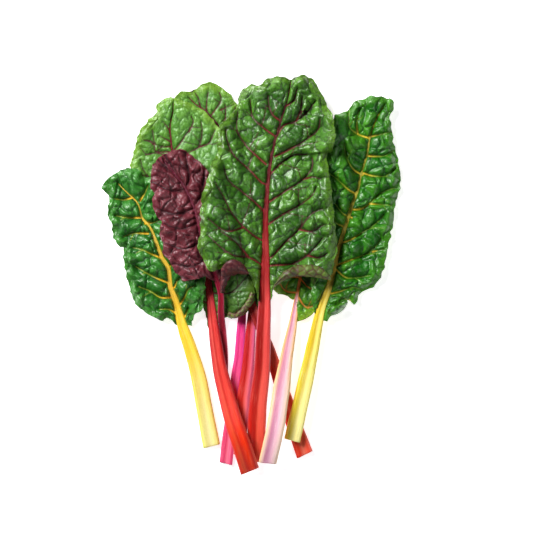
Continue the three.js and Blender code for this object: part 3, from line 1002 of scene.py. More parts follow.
# The leaves in the order in which they are laid down, the lowest first.
LEAVES = (
    Leaf(
        "magenta",
        stalk=((-25.3, -189), (-20, -140), (-15, -102), (-12.3, -83), (-10, -54), (-8.5, -33)),
        midrib=((-9, -10), (-12, 15), (-16, 60), (-15, 98), (-13, 112)),
        left=((-13, -31), (-24, -8), (-38, 20), (-44, 50), (-42, 80), (-32, 102), (-18, 114)),
        right=((-4, -31), (-4, -12), (0, 10), (4, 40), (4, 70), (-2, 100), (-9, 114)),
        width=((-189, 13.5), (-121, 11), (-92, 10), (-54, 9.2), (-33, 7.7), (20, 5), (112, 1.5)),
        stalk_finish=MAGENTA, blade_finish=LEAF_GREEN,
        crumple=BURIED, grown=((0.04, 0.86, 6, 0), (0.04, 0.86, 6, 1)), step=1.8, seed=11,
    ),
    Leaf(
        "rose",
        stalk=((-12, -180), (-8.6, -140), (-7.2, -121), (-3.2, -92), (0.2, -50)),
        midrib=((4, -15), (12, 25), (22, 75), (33, 120), (39, 140)),
        left=((-4, -34), (-8, -5), (-9, 30), (-4, 65), (6, 100), (20, 128), (34, 143)),
        right=((6, -34), (17, -10), (34, 15), (46, 45), (54, 80), (56, 110), (44, 140)),
        width=((-180, 11), (-140, 13), (-121, 13), (-92, 12.2), (-54, 10), (-15, 7), (75, 3.5), (140, 1.2)),
        stalk_finish=ROSE, blade_finish=LEAF_GREEN,
        crumple=BURIED, grown=((0.04, 0.86, 6, 0), (0.04, 0.86, 6, 1)), step=1.8, seed=12,
    ),
    Leaf(
        "crimson_back",
        stalk=((54, -180), (43, -149), (31, -114), (18, -73), (3, -36)),
        midrib=((-5, -10), (-11, 25), (-19, 75), (-26, 115), (-31, 146), (-34, 152), (-40, 159), (-46, 166),
                (-52, 169.5), (-57, 173), (-62, 178.5)),
        left=((-2, -38), (-20, -10), (-38, 25), (-50, 65), (-62, 105), (-70, 140), (-76, 165), (-77, 178), (-70, 185)),
        right=((9, -38), (15, -10), (18, 25), (14, 65), (8, 110), (0, 145), (-9, 163), (-13, 169.5), (-17, 176.5),
               (-21, 182.5), (-29, 188.5), (-40, 194.5), (-46, 193.5), (-53, 189.5), (-60, 184.5)),
        width=((-180, 17.5), (-135, 15), (-97, 12.5), (-65, 10.5), (-28, 9), (40, 6), (120, 3.5), (160, 1.6),
               (181, 1.0)),
        stalk_finish=BRICK, blade_finish=PALE_GREEN,
        crumple=Crumple(pillow=1.0, pillow_reach=6, cell_height=0.8, fine_height=0.25, wave=1.2, ruffle=1.2),
        veins=(
            ((-45, 165), (-44.5, 175), (-43, 184)),
            ((-40, 161), (-31, 174), (-30, 178), (-32, 184)),
            ((-32, 148), (-26, 158), (-26, 172)),
            ((-31, 166), (-22, 170), (-17, 172)),
            ((-51, 169), (-53, 178), (-56, 183)),
        ),
        grown=((0.04, 0.62, 7, 0), (0.04, 0.7, 8, 1)), step=1.0, seed=13,
    ),
    Leaf(
        "red_front",
        stalk=((-1, -196), (-8.5, -171), (-17.4, -144.5), (-24.4, -119.5), (-31, -93.5), (-37, -55.5), (-39.5, -35)),
        midrib=((-41.5, -18), (-46, 13), (-54, 40), (-63, 70), (-72, 100), (-79, 124), (-80.5, 137), (-81.5, 146),
                (-80.5, 155), (-78.5, 164), (-78, 174)),
        left=((-43, -52), (-47, -36), (-52, -24), (-66, -10), (-84, 12), (-100, 45), (-112, 80), (-120, 107.5),
              (-121, 111), (-117, 127.5), (-114, 139), (-110, 147), (-104, 155.5), (-95, 164), (-94.5, 171),
              (-85.5, 177.5), (-80, 178)),
        right=((-33, -52), (-32, -42), (-26, -42), (-15, -43), (-5, -37), (3, -24), (3, -5), (-4, 30), (-14, 70),
               (-18, 100), (-22, 125), (-27, 140), (-32, 148), (-42, 160), (-56, 170), (-68, 175), (-76, 177.5)),
        width=((-196, 19.5), (-170, 19), (-145, 18), (-119, 16.5), (-93, 14.5), (-55, 11.2), (-20, 8), (60, 4.5),
               (125, 2.2), (150, 1.6), (172, 1.0)),
        stalk_finish=SCARLET, blade_finish=PALE_GREEN,
        crumple=Crumple(pillow=1.2, pillow_reach=6, cell_height=1.0, fine_height=0.4, wave=1.2, ruffle=1.4),
        veins=(
            ((-80.5, 134), (-86, 137), (-92, 140)),
            ((-81, 129.5), (-88, 129), (-92, 130)),
            ((-81.5, 145), (-85, 150), (-88, 154)),
            ((-82, 124), (-96, 125), (-97, 132), (-99, 146)),
            ((-97, 131), (-103, 135), (-108, 136)),
            ((-80, 119), (-96, 123), (-105, 122), (-111, 128)),
            ((-76, 112), (-90, 102), (-101, 98), (-108, 106), (-111, 116)),
            ((-79, 124), (-72, 131), (-66, 140), (-59, 148), (-51, 148)),
            ((-76, 115), (-61, 124), (-53, 128), (-49, 144), (-50, 154)),
            ((-53, 128), (-42, 133), (-36, 146)),
            ((-62, 144), (-58, 154), (-60, 160)),
        ),
        grown=((0.02, 0.5, 7, 0), (0.02, 0.52, 8, 1)), step=1.0, seed=14, vein_taper=(0.35, 0.1),
        flaps=(
            Flap(fold=((-24, -40, 0), (-17, -43, 1), (-8, -39, 1), (0, -29, 1), (4, -18, 0)),
                 free=((-22, -36, 1), (-16, -38, 2), (-10, -33, 2.5), (-4, -24, 2.5), (0, -16, 1)), crest=1.5, cell=4),
        ),
    ),
    Leaf(
        "yellow_left",
        stalk=((-39.5, -171.5), (-47, -132), (-53, -101), (-61.5, -72), (-68.5, -52)),
        midrib=((-72.5, -38), (-76, -24.5), (-80.5, -12.5), (-83, 7.5), (-89, 17.5), (-95, 33.5), (-102, 49.5),
                (-109, 57.5), (-114, 72.5), (-127, 85.5), (-134, 93)),
        left=((-75, -50), (-83, -42.5), (-90, -44.5), (-102, -39.5), (-115, -29.5), (-120, -19.5), (-122, -10.5),
              (-125, 0.5), (-128, 17.5), (-128, 28.5), (-131, 29), (-135, 33), (-139, 41), (-139, 50), (-144, 62.5),
              (-142, 73.5), (-143, 80), (-149, 86.5), (-148, 92), (-141, 99.5)),
        right=((-60, -50), (-56, -38), (-50.5, -36), (-47, -20), (-46, 0), (-50, 25), (-66, 50), (-85, 80),
               (-100, 97), (-107, 99), (-110, 104), (-120, 107.5), (-131, 105)),
        width=((-171, 17.2), (-106, 15.8), (-60, 12.4), (-46, 10), (-28, 7), (-12, 5.4), (20, 4), (60, 2.4),
               (86, 1.3), (96, 1.0)),
        stalk_finish=GOLD, blade_finish=FERN_GREEN,
        crumple=Crumple(pillow=3.2, pillow_reach=7, cell=12, cell_height=3.0, fine_cell=4.6, fine_height=0.7, wave=3.6,
                        wavelength=22, ruffle=2.8, ruffle_length=24),
        veins=(
            ((-110, 58), (-124, 58), (-136, 60)),
            ((-103, 42), (-118, 42), (-128, 39)),
            ((-91, 18), (-101, 22), (-109, 26), (-119, 28)),
            ((-84, -7), (-94, -3), (-104, 2), (-116, 9)),
            ((-80, -22), (-91, -22), (-101, -16), (-113, -11)),
            ((-75, -38), (-83, -34), (-92, -34)),
            ((-106, 52), (-98, 53), (-91, 56)),
            ((-83, 6), (-78, 14)),
            ((-77, -12), (-73, -4), (-69, -2)),
            ((-72, -30), (-66, -21), (-63, -14), (-56, -10)),
            ((-67, -42), (-63, -33)),
            ((-111, 75), (-106, 83), (-103, 90)),
            ((-119, 78), (-128, 76), (-137, 77)),
        ),
        seed=15, vein_taper=(0.55, 0.12), forks=((0.6, -1.0),),
    ),
    Leaf(
        "purple",
        stalk=((-26.8, -105), (-26.8, -80), (-28.4, -57), (-30, -38), (-30, -19.5)),
        midrib=((-33, -8), (-41, 12), (-48, 30), (-51, 43.5), (-55, 61.5), (-60, 75.5), (-67, 89.5), (-77, 102.5),
                (-87, 115)),
        left=((-31.5, -16), (-34, -8), (-39, -4.5), (-45, -1.5), (-53, -2.5), (-60, -4.5), (-65, -6.5), (-72, -0.5),
              (-77, 6.5), (-80.5, 13.5), (-87, 22), (-87, 33.5), (-91, 41), (-89.5, 53.5), (-93, 58), (-97, 66.5),
              (-98, 76.5), (-96, 82.5), (-101, 88), (-100, 95), (-98, 109), (-94, 116)),
        right=((-28, -16), (-24, -8), (-19, 2), (-18, 18), (-22, 38), (-27, 60), (-34, 85), (-43, 104.5),
               (-51, 112.5), (-58, 118.5), (-65, 124.5), (-71, 125.5), (-78.5, 124.5), (-86, 121)),
        width=((-105, 7.4), (-56, 7.2), (-39, 6.6), (-19, 6), (0, 4.5), (60, 2.6), (114, 1.0)),
        stalk_finish=CRIMSON, blade_finish=BURGUNDY,
        crumple=Crumple(pillow=1.8, pillow_reach=6, cell=8.0, cell_height=2.6, fine_cell=3.8, fine_height=0.45,
                        wave=4.8, wavelength=16, ruffle=2.2, ruffle_length=20, stretch=2.1),
        grown=((0.1, 0.88, 7, 0), (0.08, 0.86, 7, 1)), seed=16, vein_taper=(0.25, 0.1),
        flaps=(
            Flap(fold=((-31, -17, 2), (-30, -3, 3), (-28, 9, 3), (-18, 16, 3), (-7, 11, 3), (-1.5, 2.5, 1)),
                 free=((-27.5, -18, 2), (-25, -9, 3), (-21, -2, 4), (-14, 1, 4), (-8, 1, 3), (-2, 1.5, 1)),
                 crest=2.4, cell=5, on_top=True),
        ),
    ),
    Leaf(
        "pale_pink",
        stalk=((16.5, -187.5), (24.5, -150.5), (30.7, -111.5), (37, -73.5), (41.5, -50), (45, -28)),
        midrib=((46.5, -18), (51, 5), (57, 25), (63, 60), (69, 105), (72, 140), (74, 154)),
        left=((42, -24), (35, -19.5), (27, -18), (22, -12.5), (21, -3), (26, 12), (31, 35), (37, 75), (44, 115),
              (54, 145), (70, 160)),
        right=((47, -46), (56, -42.4), (65, -35), (76, -15), (84, 10), (92, 50), (94, 105), (90, 140), (80, 155),
               (76, 161)),
        width=((-188, 17.8), (-150, 17.6), (-111, 16.7), (-73, 12), (-54, 9.5), (-30, 6), (-18, 3.4), (60, 2.6),
               (162, 1.0)),
        stalk_finish=BLUSH, blade_finish=SPRING_GREEN,
        crumple=Crumple(pillow=1.8, cell_height=1.3, fine_height=0.5, wave=1.0, ruffle=1.0),
        grown=((0.03, 0.9, 10, 0), (0.03, 0.9, 10, 1)), step=1.3, seed=17, vein_taper=(0.55, 0.2),
    ),
    Leaf(
        "yellow_right",
        stalk=((41, -165), (49, -130.5), (57.5, -92.5), (70, -34.5), (77.7, -12.5)),
        midrib=((84, 12.5), (89, 31.5), (95, 50.5), (101, 69.5), (107, 85.5), (111, 103.5), (116.6, 121.5),
                (119, 137.5), (123, 150.5), (127.6, 160.5), (134, 171.5)),
        left=((66, -44), (62, -30), (60, -10), (60, 10), (61, 30), (63, 60), (67, 90), (74, 115), (78, 140),
              (81, 153.5), (85, 160.5), (92, 163.5), (97, 165.5), (102, 172.5), (111, 176.5), (121, 179.5),
              (130, 178.5), (137, 176.5)),
        right=((76, -46), (84, -34), (92, -27), (98, -24), (104, -28.5), (108.5, -19.5), (113, -15.5), (122, -11.5),
               (132, 3.5), (135, 16.5), (139, 37.5), (143, 54.5), (144, 68.5), (148.5, 84.5), (150, 98.5),
               (148, 111.5), (146, 123.5), (143, 132.5), (141.5, 143.5), (140, 152.5), (138.5, 156.5), (142, 165),
               (142.5, 174.5), (139, 177.5)),
        width=((-165, 16.8), (-100, 15.2), (-58, 12.3), (-37, 9.6), (-16, 7.4), (12, 5.6), (35, 4.6), (90, 3),
               (140, 1.8), (172, 0.9)),
        stalk_finish=LEMON, blade_finish=BOTTLE_GREEN,
        crumple=Crumple(pillow=3.0, pillow_reach=8, cell=12, cell_height=3.0, fine_cell=5.0, fine_height=0.5, wave=4.2,
                        wavelength=24, ruffle=2.4, ruffle_length=26, stretch=1.15),
        veins=(
            ((118.5, 139), (128, 141), (141, 144)),
            ((117, 120), (125, 119.5), (133, 120), (144, 126)),
            ((112, 103), (122, 100), (135, 100), (145, 108)),
            ((101, 66), (111, 67), (119, 72), (129, 82), (144, 88)),
            ((89, 32), (100, 36), (110, 42), (125, 52), (133, 60)),
            ((85, 10), (101, 16), (120, 24), (130, 36)),
            ((84, 7), (95, -2), (107, -2), (119, 0)),
            ((80, -18), (89, -16), (101, -12), (111, -14)),
            ((119, 137.5), (107, 142), (99, 148), (98, 158), (99, 166)),
            ((112, 101), (106, 104), (101, 108), (95, 120), (93, 132)),
            ((105, 82), (97.5, 86), (87.5, 95), (76, 104)),
            ((107, 142), (106, 153), (108, 166)),
            ((101, 58), (92, 62), (84, 72)),
            ((122, 24), (133, 26)),
            ((119, 72), (132, 71), (141, 70)),
            ((95, 48), (86, 52), (78, 60)),
        ),
        seed=18, vein_taper=(0.5, 0.15), forks=((0.6, 1.0),),
        flaps=(
            Flap(fold=((76, -36, 1), (80, -40, 1.5), (88, -38, 2), (94, -33, 2), (97, -27, 1)),
                 free=((78, -31, 3), (83, -30, 5), (88, -29, 5.5), (92, -27, 5), (96, -25, 3)), crest=2.0,
                 under_up=False),
        ),
    ),
    Leaf(
        "red_centre",
        stalk=((4.5, -187), (6.8, -130.5), (11, -92.5), (12.5, -54.5), (13.8, -23.5)),
        midrib=((13.8, -7.5), (14.5, 14.5), (14.5, 36.5), (14.5, 58.5), (16, 80.5), (18, 102.5), (21, 121.5),
                (25, 138), (30, 154.5), (34.4, 168.5), (38, 182), (39.6, 193)),
        left=((9, -38), (7.5, -24), (5.5, -13), (0, -2), (-8, 5), (-18, 9), (-26, 8), (-33, 5.5), (-40.5, 4.5),
              (-46, 13.5), (-52, 28), (-50, 45), (-50, 66), (-48, 80), (-43, 95.5), (-39, 110), (-34, 123.5),
              (-32, 146.5), (-24, 157.5), (-14, 168.5), (-12.5, 177), (-9, 185), (2, 190.5), (10, 190), (14, 195),
              (25, 198), (33.5, 197.5), (38.5, 194.8)),
        right=((18.5, -38), (20, -24), (22, -14), (28, -7.5), (43, -1), (61, -1), (77, -3), (83.5, 14), (86, 29.5),
               (85, 41.5), (83, 55.5), (82, 70.5), (79, 94.5), (77, 108.5), (75, 120), (80.6, 124.5), (83.5, 139.5),
               (82, 154.5), (77.5, 166), (72, 178), (67, 188), (61, 196), (53, 199.5), (46, 198), (41.5, 194.8)),
        width=((-187, 18), (-130, 18), (-92, 16.2), (-54, 14.8), (-8, 10.8), (14, 8.6), (36, 6.8), (58, 6), (80, 5),
               (121, 3.2), (154, 2), (168, 1.5), (190, 1.0)),
        stalk_finish=DEEP_RED, blade_finish=LEAF_GREEN,
        crumple=Crumple(pillow=2.8, pillow_reach=7, cell=13.5, cell_height=2.2, fine_cell=5.0, fine_height=0.42,
                        wave=3.8, wavelength=24, ruffle=2.2, ruffle_length=26, stretch=0.9),
        veins=(
            ((24, 139), (12, 148), (2, 158), (-1, 176)),
            ((15, 111), (5, 120), (-5, 130), (-14, 146), (-13, 164)),
            ((17, 91), (12, 92), (-2, 106), (-17, 120), (-24, 136), (-25, 146)),
            ((15, 62), (5, 72), (-7, 82), (-23, 96), (-27, 108)),
            ((14, 35), (9, 36), (-7, 48), (-19, 62), (-26, 76), (-35, 92)),
            ((13, 10), (9, 12), (-2, 18), (-17, 20), (-32, 30), (-42, 40)),
            ((30, 154), (22, 160), (18, 170), (17, 180)),
            ((25, 138), (33, 150), (45, 154), (55, 162), (64, 174)),
            ((24, 119), (39, 126), (56, 136), (67, 146), (69, 156)),
            ((18, 100), (30, 112), (42, 120), (56, 121)),
            ((16, 72), (34, 84), (52, 96), (61, 108), (61, 118)),
            ((16, 50), (30, 60), (48, 70), (61, 80), (65, 88)),
            ((16, 16), (20, 18), (33, 32), (48, 46), (61, 62), (71, 66)),
            ((16, 9), (20, 10), (42, 12), (56, 20), (67, 32), (72, 38)),
            ((-7, 48), (-24, 44), (-42, 56)),
            ((-2, 18), (-16, 34), (-30, 44)),
            ((45, 154), (50, 166), (51, 178)),
            ((52, 96), (62, 98), (70, 96)),
            ((48, 46), (60, 44), (72, 50)),
            ((56, 20), (68, 18), (76, 22)),
            ((34.4, 168.5), (42, 174), (46, 186)),
        ),
        seed=19, vein_taper=(0.6, 0.15),
        flaps=(
            Flap(fold=((21, -14, 1), (28, -8, 2), (42, -1.5, 3), (61, -1.5, 3), (79, -5, 1)),
                 free=((23, -9, 1), (33, 4, 3), (48, 10.5, 3.5), (68, 9, 3), (79, 0, 1)), crest=3.0, cell=6),
        ),
        step_line=((24, 110), (42, 120), (65, 121.5), (84, 124)), holes=((54, 163.5, 2.4),),
    ),
)

# Stalks whose cut ends are tucked in under a leaf that is laid before their own blades are: up to this y.
TUCKED = {"red_front": {"purple": -54.0, "red_centre": -132.0}}


# ---------------------------------------------------------------- growing the leaves


def highest(first: Array, second: Array, soft: float) -> Array:
    """Rounded maximum of two heights: (a + b + sqrt((a - b)^2 + soft^2)) / 2."""
    return (first + second + np.sqrt((first - second) ** 2 + soft**2)) / 2


@dataclass
class StalkBuilder:
    """Lays one leaf's stalk and midrib on the pile and gives them a body.

    Lengths are in millimetres, and the trims at both ends, the channel's depth and its width are shares of the
    stalk's own size there. gap is kept clear over whatever it lies on.
    """

    leaf: Leaf
    owner: int
    station: float = 2.5
    around: int = 44
    squareness: float = 2.7
    gap: float = 0.6
    thinnest: float = 1.0
    thickness_per_width: float = 0.4
    rise_length: float = 34.0
    cut_trim: float = 0.93
    tip_trim: float = 0.6
    channel_depth: float = 0.25
    channel_width: float = 0.5
    ridge: float = 0.16
    slant: float = 0.16

    def __post_init__(self) -> None:
        """Works out the line in plan and the sizes at its stations."""
        path = self.leaf.stalk + self.leaf.midrib
        self.length = curve_length(path)
        self.plan = smooth_curve(path, int(self.length / self.station))
        self.run = np.linspace(0, self.length, len(self.plan))
        rows, widths = np.transpose(self.leaf.width)
        self.width = np.interp(self.plan[:, 1], rows, widths)
        self.thickness = self.thinnest + self.thickness_per_width * self.width
        tangent = np.gradient(self.plan, axis=0)
        tangent /= np.linalg.norm(tangent, axis=1, keepdims=True)
        self.tangent = tangent
        self.right = np.column_stack([tangent[:, 1], -tangent[:, 0]])
        self.foot = float(np.interp(self.leaf.left[0][1], self.plan[:, 1], self.run))
        self.bottom = np.zeros(len(self.plan))
        self.kept = np.zeros(len(self.plan), bool)

    def floors(self, pile: Pile) -> Array:
        """Lowest height of every station over the pile, looking as wide as the stalk and one station each way.

        Args:
            pile: everything laid so far.

        Returns:
            The heights, 0 on the bare table.
        """
        across = np.linspace(-1, 1, 7)[None, :, None]
        places = self.plan[:, None] + self.right[:, None] * across * (self.width[:, None, None] / 2 + 0.5)
        under = pile.floor(places, self.owner).max(axis=1)
        under = np.maximum(under, np.maximum(np.roll(under, 1), np.roll(under, -1)))
        return np.where(under > 0, under + self.gap, 0.0)

    def cloud(self, chosen: Array) -> Array:
        """Points over the top of the chosen stations, for the pile.

        Args:
            chosen: which stations.

        Returns:
            A cloud of points.
        """
        fine = np.arange(len(self.run) * 3) / 3
        fine = fine[chosen[np.clip(np.round(fine).astype(int), 0, len(chosen) - 1)]]
        index = np.arange(len(self.run))
        at = [np.interp(fine, index, values) for values in (*self.plan.T, *self.right.T, self.width, self.top())]
        x, y, rx, ry, width, top = (values[:, None] for values in at)
        across = np.linspace(-0.46, 0.46, 15)[None, :] * width
        return np.stack([x + rx * across, y + ry * across, top + 0 * across], axis=-1)

    def top(self) -> Array:
        """Height of the top of every station."""
        return self.bottom + self.thickness

    def tuck(self, pile: Pile, limit: float) -> None:
        """Lays only the stations up to a limit in y, which later leaves will lie on.

        Args:
            pile: everything laid so far.
            limit: the limit.
        """
        self.kept = self.plan[:, 1] <= limit
        lain = settle(self.run[self.kept], self.floors(pile)[self.kept])
        self.bottom[self.kept] = relax(lain, 0)
        pile.add(self.cloud(self.kept), self.owner)

    def lay(self, pile: Pile) -> None:
        """Lays the whole line, keeping stations that are already tucked and rising smoothly from them.

        Args:
            pile: everything laid so far.
        """
        floors = self.floors(pile)
        last = int(self.kept.sum())
        floors[self.kept] = self.bottom[self.kept]
        lain = settle(self.run, floors)
        if last:
            sunk = self.bottom[last - 1] - lain[last - 1]
            rise = 1 - fade(self.run - self.run[last - 1], 0, self.rise_length)
            lain = np.maximum(lain + sunk * rise, floors)
            lain[self.kept] = self.bottom[self.kept]
        self.bottom = relax(lain, last)
        pile.add(self.cloud(np.ones(len(self.run), bool)), self.owner)

    def shell(self) -> Shell:
        """Skin of the stalk: rings x = |cos t|^p, z = |sin t|^p with signs, channelled along the top and closed.

        Returns:
            The closed stalk.
        """
        rng = np.random.default_rng(self.leaf.seed)
        turn = (np.arange(self.around) + 0.5) * 2 * np.pi / self.around
        power = 2 / self.squareness
        x = np.sign(np.cos(turn)) * np.abs(np.cos(turn)) ** power
        z = np.sign(np.sin(turn)) * np.abs(np.sin(turn)) ** power
        rows = np.concatenate([[0.0, 0.4], self.run[1:]])
        index = np.interp(rows, self.run, np.arange(len(self.run)))
        source = np.arange(len(self.run))

        def at(values: Array) -> Array:
            """Values of the stations at the rings, as a column."""
            return np.interp(index, source, values)[:, None]

        share = np.clip(rows / self.foot, 0, 1)[:, None]
        rib = np.clip((rows - self.foot) / (self.length - self.foot), 0, 1)[:, None]
        half, thick = at(self.width) / 2, at(self.thickness)
        trim = np.ones(len(rows))
        trim[0], trim[-1] = self.cut_trim, self.tip_trim
        half, thick = half * trim[:, None], thick * trim[:, None]
        half = half * (1 + 0.02 * swell(np.column_stack([rows, rows * 0]), self.leaf.seed, 26)[:, None])
        depth = self.channel_depth * (1 - 0.6 * rib) * (1 - 0.15 * share)
        flank = 1 - 0.12 * np.clip(-z, 0, 1)[None, :]
        across = x[None, :] * half * flank
        channel = depth * np.exp(-((x[None, :] / self.channel_width) ** 2)) * (z[None, :] > 0)
        high = (z[None, :] / 2 + 0.5 - channel) * thick
        wave = np.sin(x[None, :] * half * 2.1 + 0.6 * np.sin(rows[:, None] / 31))
        high = high + self.ridge * wave * (np.abs(z[None, :]) > 0.6) * np.clip(half / 6, 0, 1) * (z[None, :] > 0)
        skew = rng.uniform(-self.slant, self.slant) * across * (1 - fade(rows, 0, 8))[:, None]
        points = np.stack([
            at(self.plan[:, 0]) + at(self.right[:, 0]) * across + at(self.tangent[:, 0]) * skew,
            at(self.plan[:, 1]) + at(self.right[:, 1]) * across + at(self.tangent[:, 1]) * skew,
            at(self.bottom) + high,
        ], axis=-1)
        count, size = len(rows), self.around
        sides = grid_quads(count, size, wrap=True)[:, ::-1]
        k = np.arange(size // 2 - 1)
        cut = np.stack([k, k + 1, size - 2 - k, size - 1 - k], axis=1)
        end = cut[:, ::-1] + (count - 1) * size
        quads = np.concatenate([sides, cut, end])
        slots = np.concatenate([np.zeros(len(sides)), np.ones(len(cut)), np.zeros(len(end))])
        full = np.ones((count, size))
        traits = {
            "across": x[None, :] * full, "along": share * full, "rib": rib * full,
            "run": rows[:, None] * full, "up": (z[None, :] / 2 + 0.5) * full,
        }
        flat = {name: values.ravel() for name, values in traits.items()}
        return Shell(points.reshape(-1, 3), quads, slots, flat, flat=1)


@dataclass
class Fields:
    """What a blade's relief and materials are worked out from, at every point. Distances are in millimetres.

    beside, room, lateral, twig and net are distances from the midrib, the margin, the side veins, their forks and
    the borders of the blisters. shown is the distance from any vein, outward how far along its vein a point lies,
    tint a random number for each blister, and crinkle the rise of the smallest ones.
    """

    beside: Array
    room: Array
    lateral: Array
    twig: Array
    shown: Array
    outward: Array
    net: Array
    tint: Array
    crinkle: Array


@dataclass
class BladeBuilder:
    """Spreads one leaf's blade from its midrib over the pile.

    clearance is kept over the pile, seat_share is how high up the midrib the blade joins it, and sink is how far it
    dips there. spread and soften are the bed's, in cells, and only veins longer than forked_from have forks.
    """

    leaf: Leaf
    line: StalkBuilder
    thickness: float = 0.6
    clearance: float = 0.9
    seat_share: float = 0.72
    sink: float = 0.6
    spread: int = 5
    soften: int = 2
    forked_from: float = 20.0
    fold_height: float = 3.6
    flap_blister: float = 1.3

    def __post_init__(self) -> None:
        """Works out the grid in plan."""
        leaf, line = self.leaf, self.line
        rows = int((line.length - line.foot) / leaf.step)
        at = np.linspace(line.foot, line.length, rows)
        self.rib = np.column_stack([np.interp(at, line.run, line.plan[:, axis]) for axis in (0, 1)])
        self.rib_half = np.interp(at, line.run, line.width) / 2
        self.seat = np.interp(at, line.run, line.bottom + self.seat_share * line.thickness)
        edges = [smooth_curve(side, rows) for side in (leaf.left, leaf.right)]
        self.edges = edges
        spans = [np.linalg.norm(edge - self.rib, axis=1).max() for edge in edges]
        counts = [max(6, int(span / leaf.step)) for span in spans]
        closing = fade(np.linspace(0, 1, rows), 0.84, 1.0)[:, None]
        spine = self.rib + ((edges[0][-1] + edges[1][-1]) / 2 - self.rib[-1]) * closing
        left = np.linspace(1, 0, counts[0] + 1)[:-1]
        right = np.linspace(0, 1, counts[1] + 1)
        self.side = np.concatenate([-left, right])
        away = np.where(self.side[None, :, None] < 0, edges[0][:, None], edges[1][:, None]) - spine[:, None]
        plan = spine[:, None] + np.abs(self.side)[None, :, None] * away
        self.plan = plan + drift(plan, leaf.seed + 40, 9) * 0.7 * fade(np.abs(self.side), 0.6, 1)[None, :, None]

    def veins(self) -> tuple[list[Array], list[Array]]:
        """Side veins, designed one by one or grown evenly along the midrib, and the forks that leave them.

        Returns:
            The side veins and the forks, each from its root to its end.
        """
        rng = np.random.default_rng(self.leaf.seed + 60)
        mains = [smooth_curve(vein, VEIN_POINTS) for vein in self.leaf.veins]
        rows = len(self.rib) - 1
        for start, end, count, side in self.leaf.grown:
            for place in np.linspace(start, end, count) + rng.uniform(-0.02, 0.02, count):
                leans = (0, 0.12, rng.uniform(0.1, 0.18))
                root, above, beyond = (np.clip(place + lean, 0, 1) * rows for lean in leans)
                base = self.rib[int(root)]
                tip = base + (self.edges[side][int(beyond)] - base) * 0.94
                bow = (base + tip) / 2 + (base - self.rib[int(above)]) * 0.35
                mains.append(smooth_curve((tuple(base), tuple(bow), tuple(tip)), VEIN_POINTS))
        forks = []
        for main in mains:
            if np.linalg.norm(main[-1] - main[0]) < self.forked_from:
                continue
            for share, turn in self.leaf.forks:
                base = main[int(share * (VEIN_POINTS - 1))]
                ahead = (main[-1] - base) * rng.uniform(0.45, 0.75)
                swing = turn * rng.uniform(0.6, 0.95)
                cosine, sine = np.cos(swing), np.sin(swing)
                reach = np.array([ahead[0] * cosine + ahead[1] * sine, ahead[1] * cosine - ahead[0] * sine])
                middle = base + reach * 0.5 + rng.uniform(-1.0, 1.0, 2)
                forks.append(smooth_curve((tuple(base), tuple(middle), tuple(base + reach)), FORK_POINTS))
        return mains, forks

    def grow(self, pile: Pile) -> Shell:
        """Raises the grid over the pile and the midrib, adds the blisters and ruffles, and thickens it.

        Args:
            pile: everything laid so far, without this leaf's own stalk.

        Returns:
            The closed blade.
        """
        far, place = line_distance(self.plan, [self.rib], NO_TAPER, FAR)
        half, seat = (
            np.interp(place, np.linspace(0, 1, len(values)), values) for values in (self.rib_half, self.seat)
        )
        fields = self.fields(np.maximum(far - half, 0))
        beside, crinkle = fields.beside, fields.crinkle
        relief, sound = self.pierced(self.relief(fields))
        bed = pile.bed(self.spread, self.soften).at(self.plan) + (self.thickness + self.clearance)
        base = highest(seat - self.leaf.droop * beside, bed, 2.0)
        height = base + relief - (1 - fade(beside, 0.0, 2.6)) * self.sink
        height = height + (np.minimum(height, seat - self.sink) - height) * (far < half)
        self.upper = np.concatenate([self.plan, height[..., None]], axis=-1)
        # open_tissue, kept as the relief trait, is low in creases, beside veins and in the pressed-in holes, and high
        # on blister tops; the upper material paints shade and light from it.
        open_tissue = 0.35 * dome(np.maximum(fields.lateral, 0), 1.8) + 0.4 * dome(fields.net, 2.4) + 0.25 * crinkle
        return sheet_shell(self.upper, self.thickness, {
            "relief": sound * open_tissue, "cell": fields.tint, "foot": 1 - fade(place, 0.0, 0.35),
            "room": fields.room, "net": fields.net, "lateral": fields.shown, "outward": fields.outward,
        })

    def fields(self, beside: Array) -> Fields:
        """Works out how far every point is from the veins, the margin and the borders of the blisters.

        Args:
            beside: distance from the side of the midrib.

        Returns:
            The fields.
        """
        leaf, form, plan = self.leaf, self.leaf.crumple, self.plan
        room = line_distance(plan, self.edges, NO_TAPER, BROAD)[0]
        mains, forks = self.veins()
        lateral, outward = line_distance(plan, mains, leaf.vein_taper)
        twig = line_distance(plan, forks, (leaf.vein_taper[0] * 0.3, 0.02))[0]
        shown = np.minimum(np.minimum(lateral, twig), beside + 1.2)
        outward = np.where(twig < lateral, 0.85, outward)
        lateral = np.minimum(lateral, beside + 1.2)
        warped = self.turned(plan) + 2.4 * drift(plan, leaf.seed + 20, 19)
        net, tint = cell_edges(warped, form.cell, leaf.seed, form.stretch)
        fine = cell_edges(warped, form.fine_cell, leaf.seed + 5, 1.0)[0]
        crinkle = dome(fine, form.fine_cell * 0.45) * fade(lateral, -0.3, 1.5)
        return Fields(beside, room, lateral, twig, shown, outward, net, tint, crinkle)

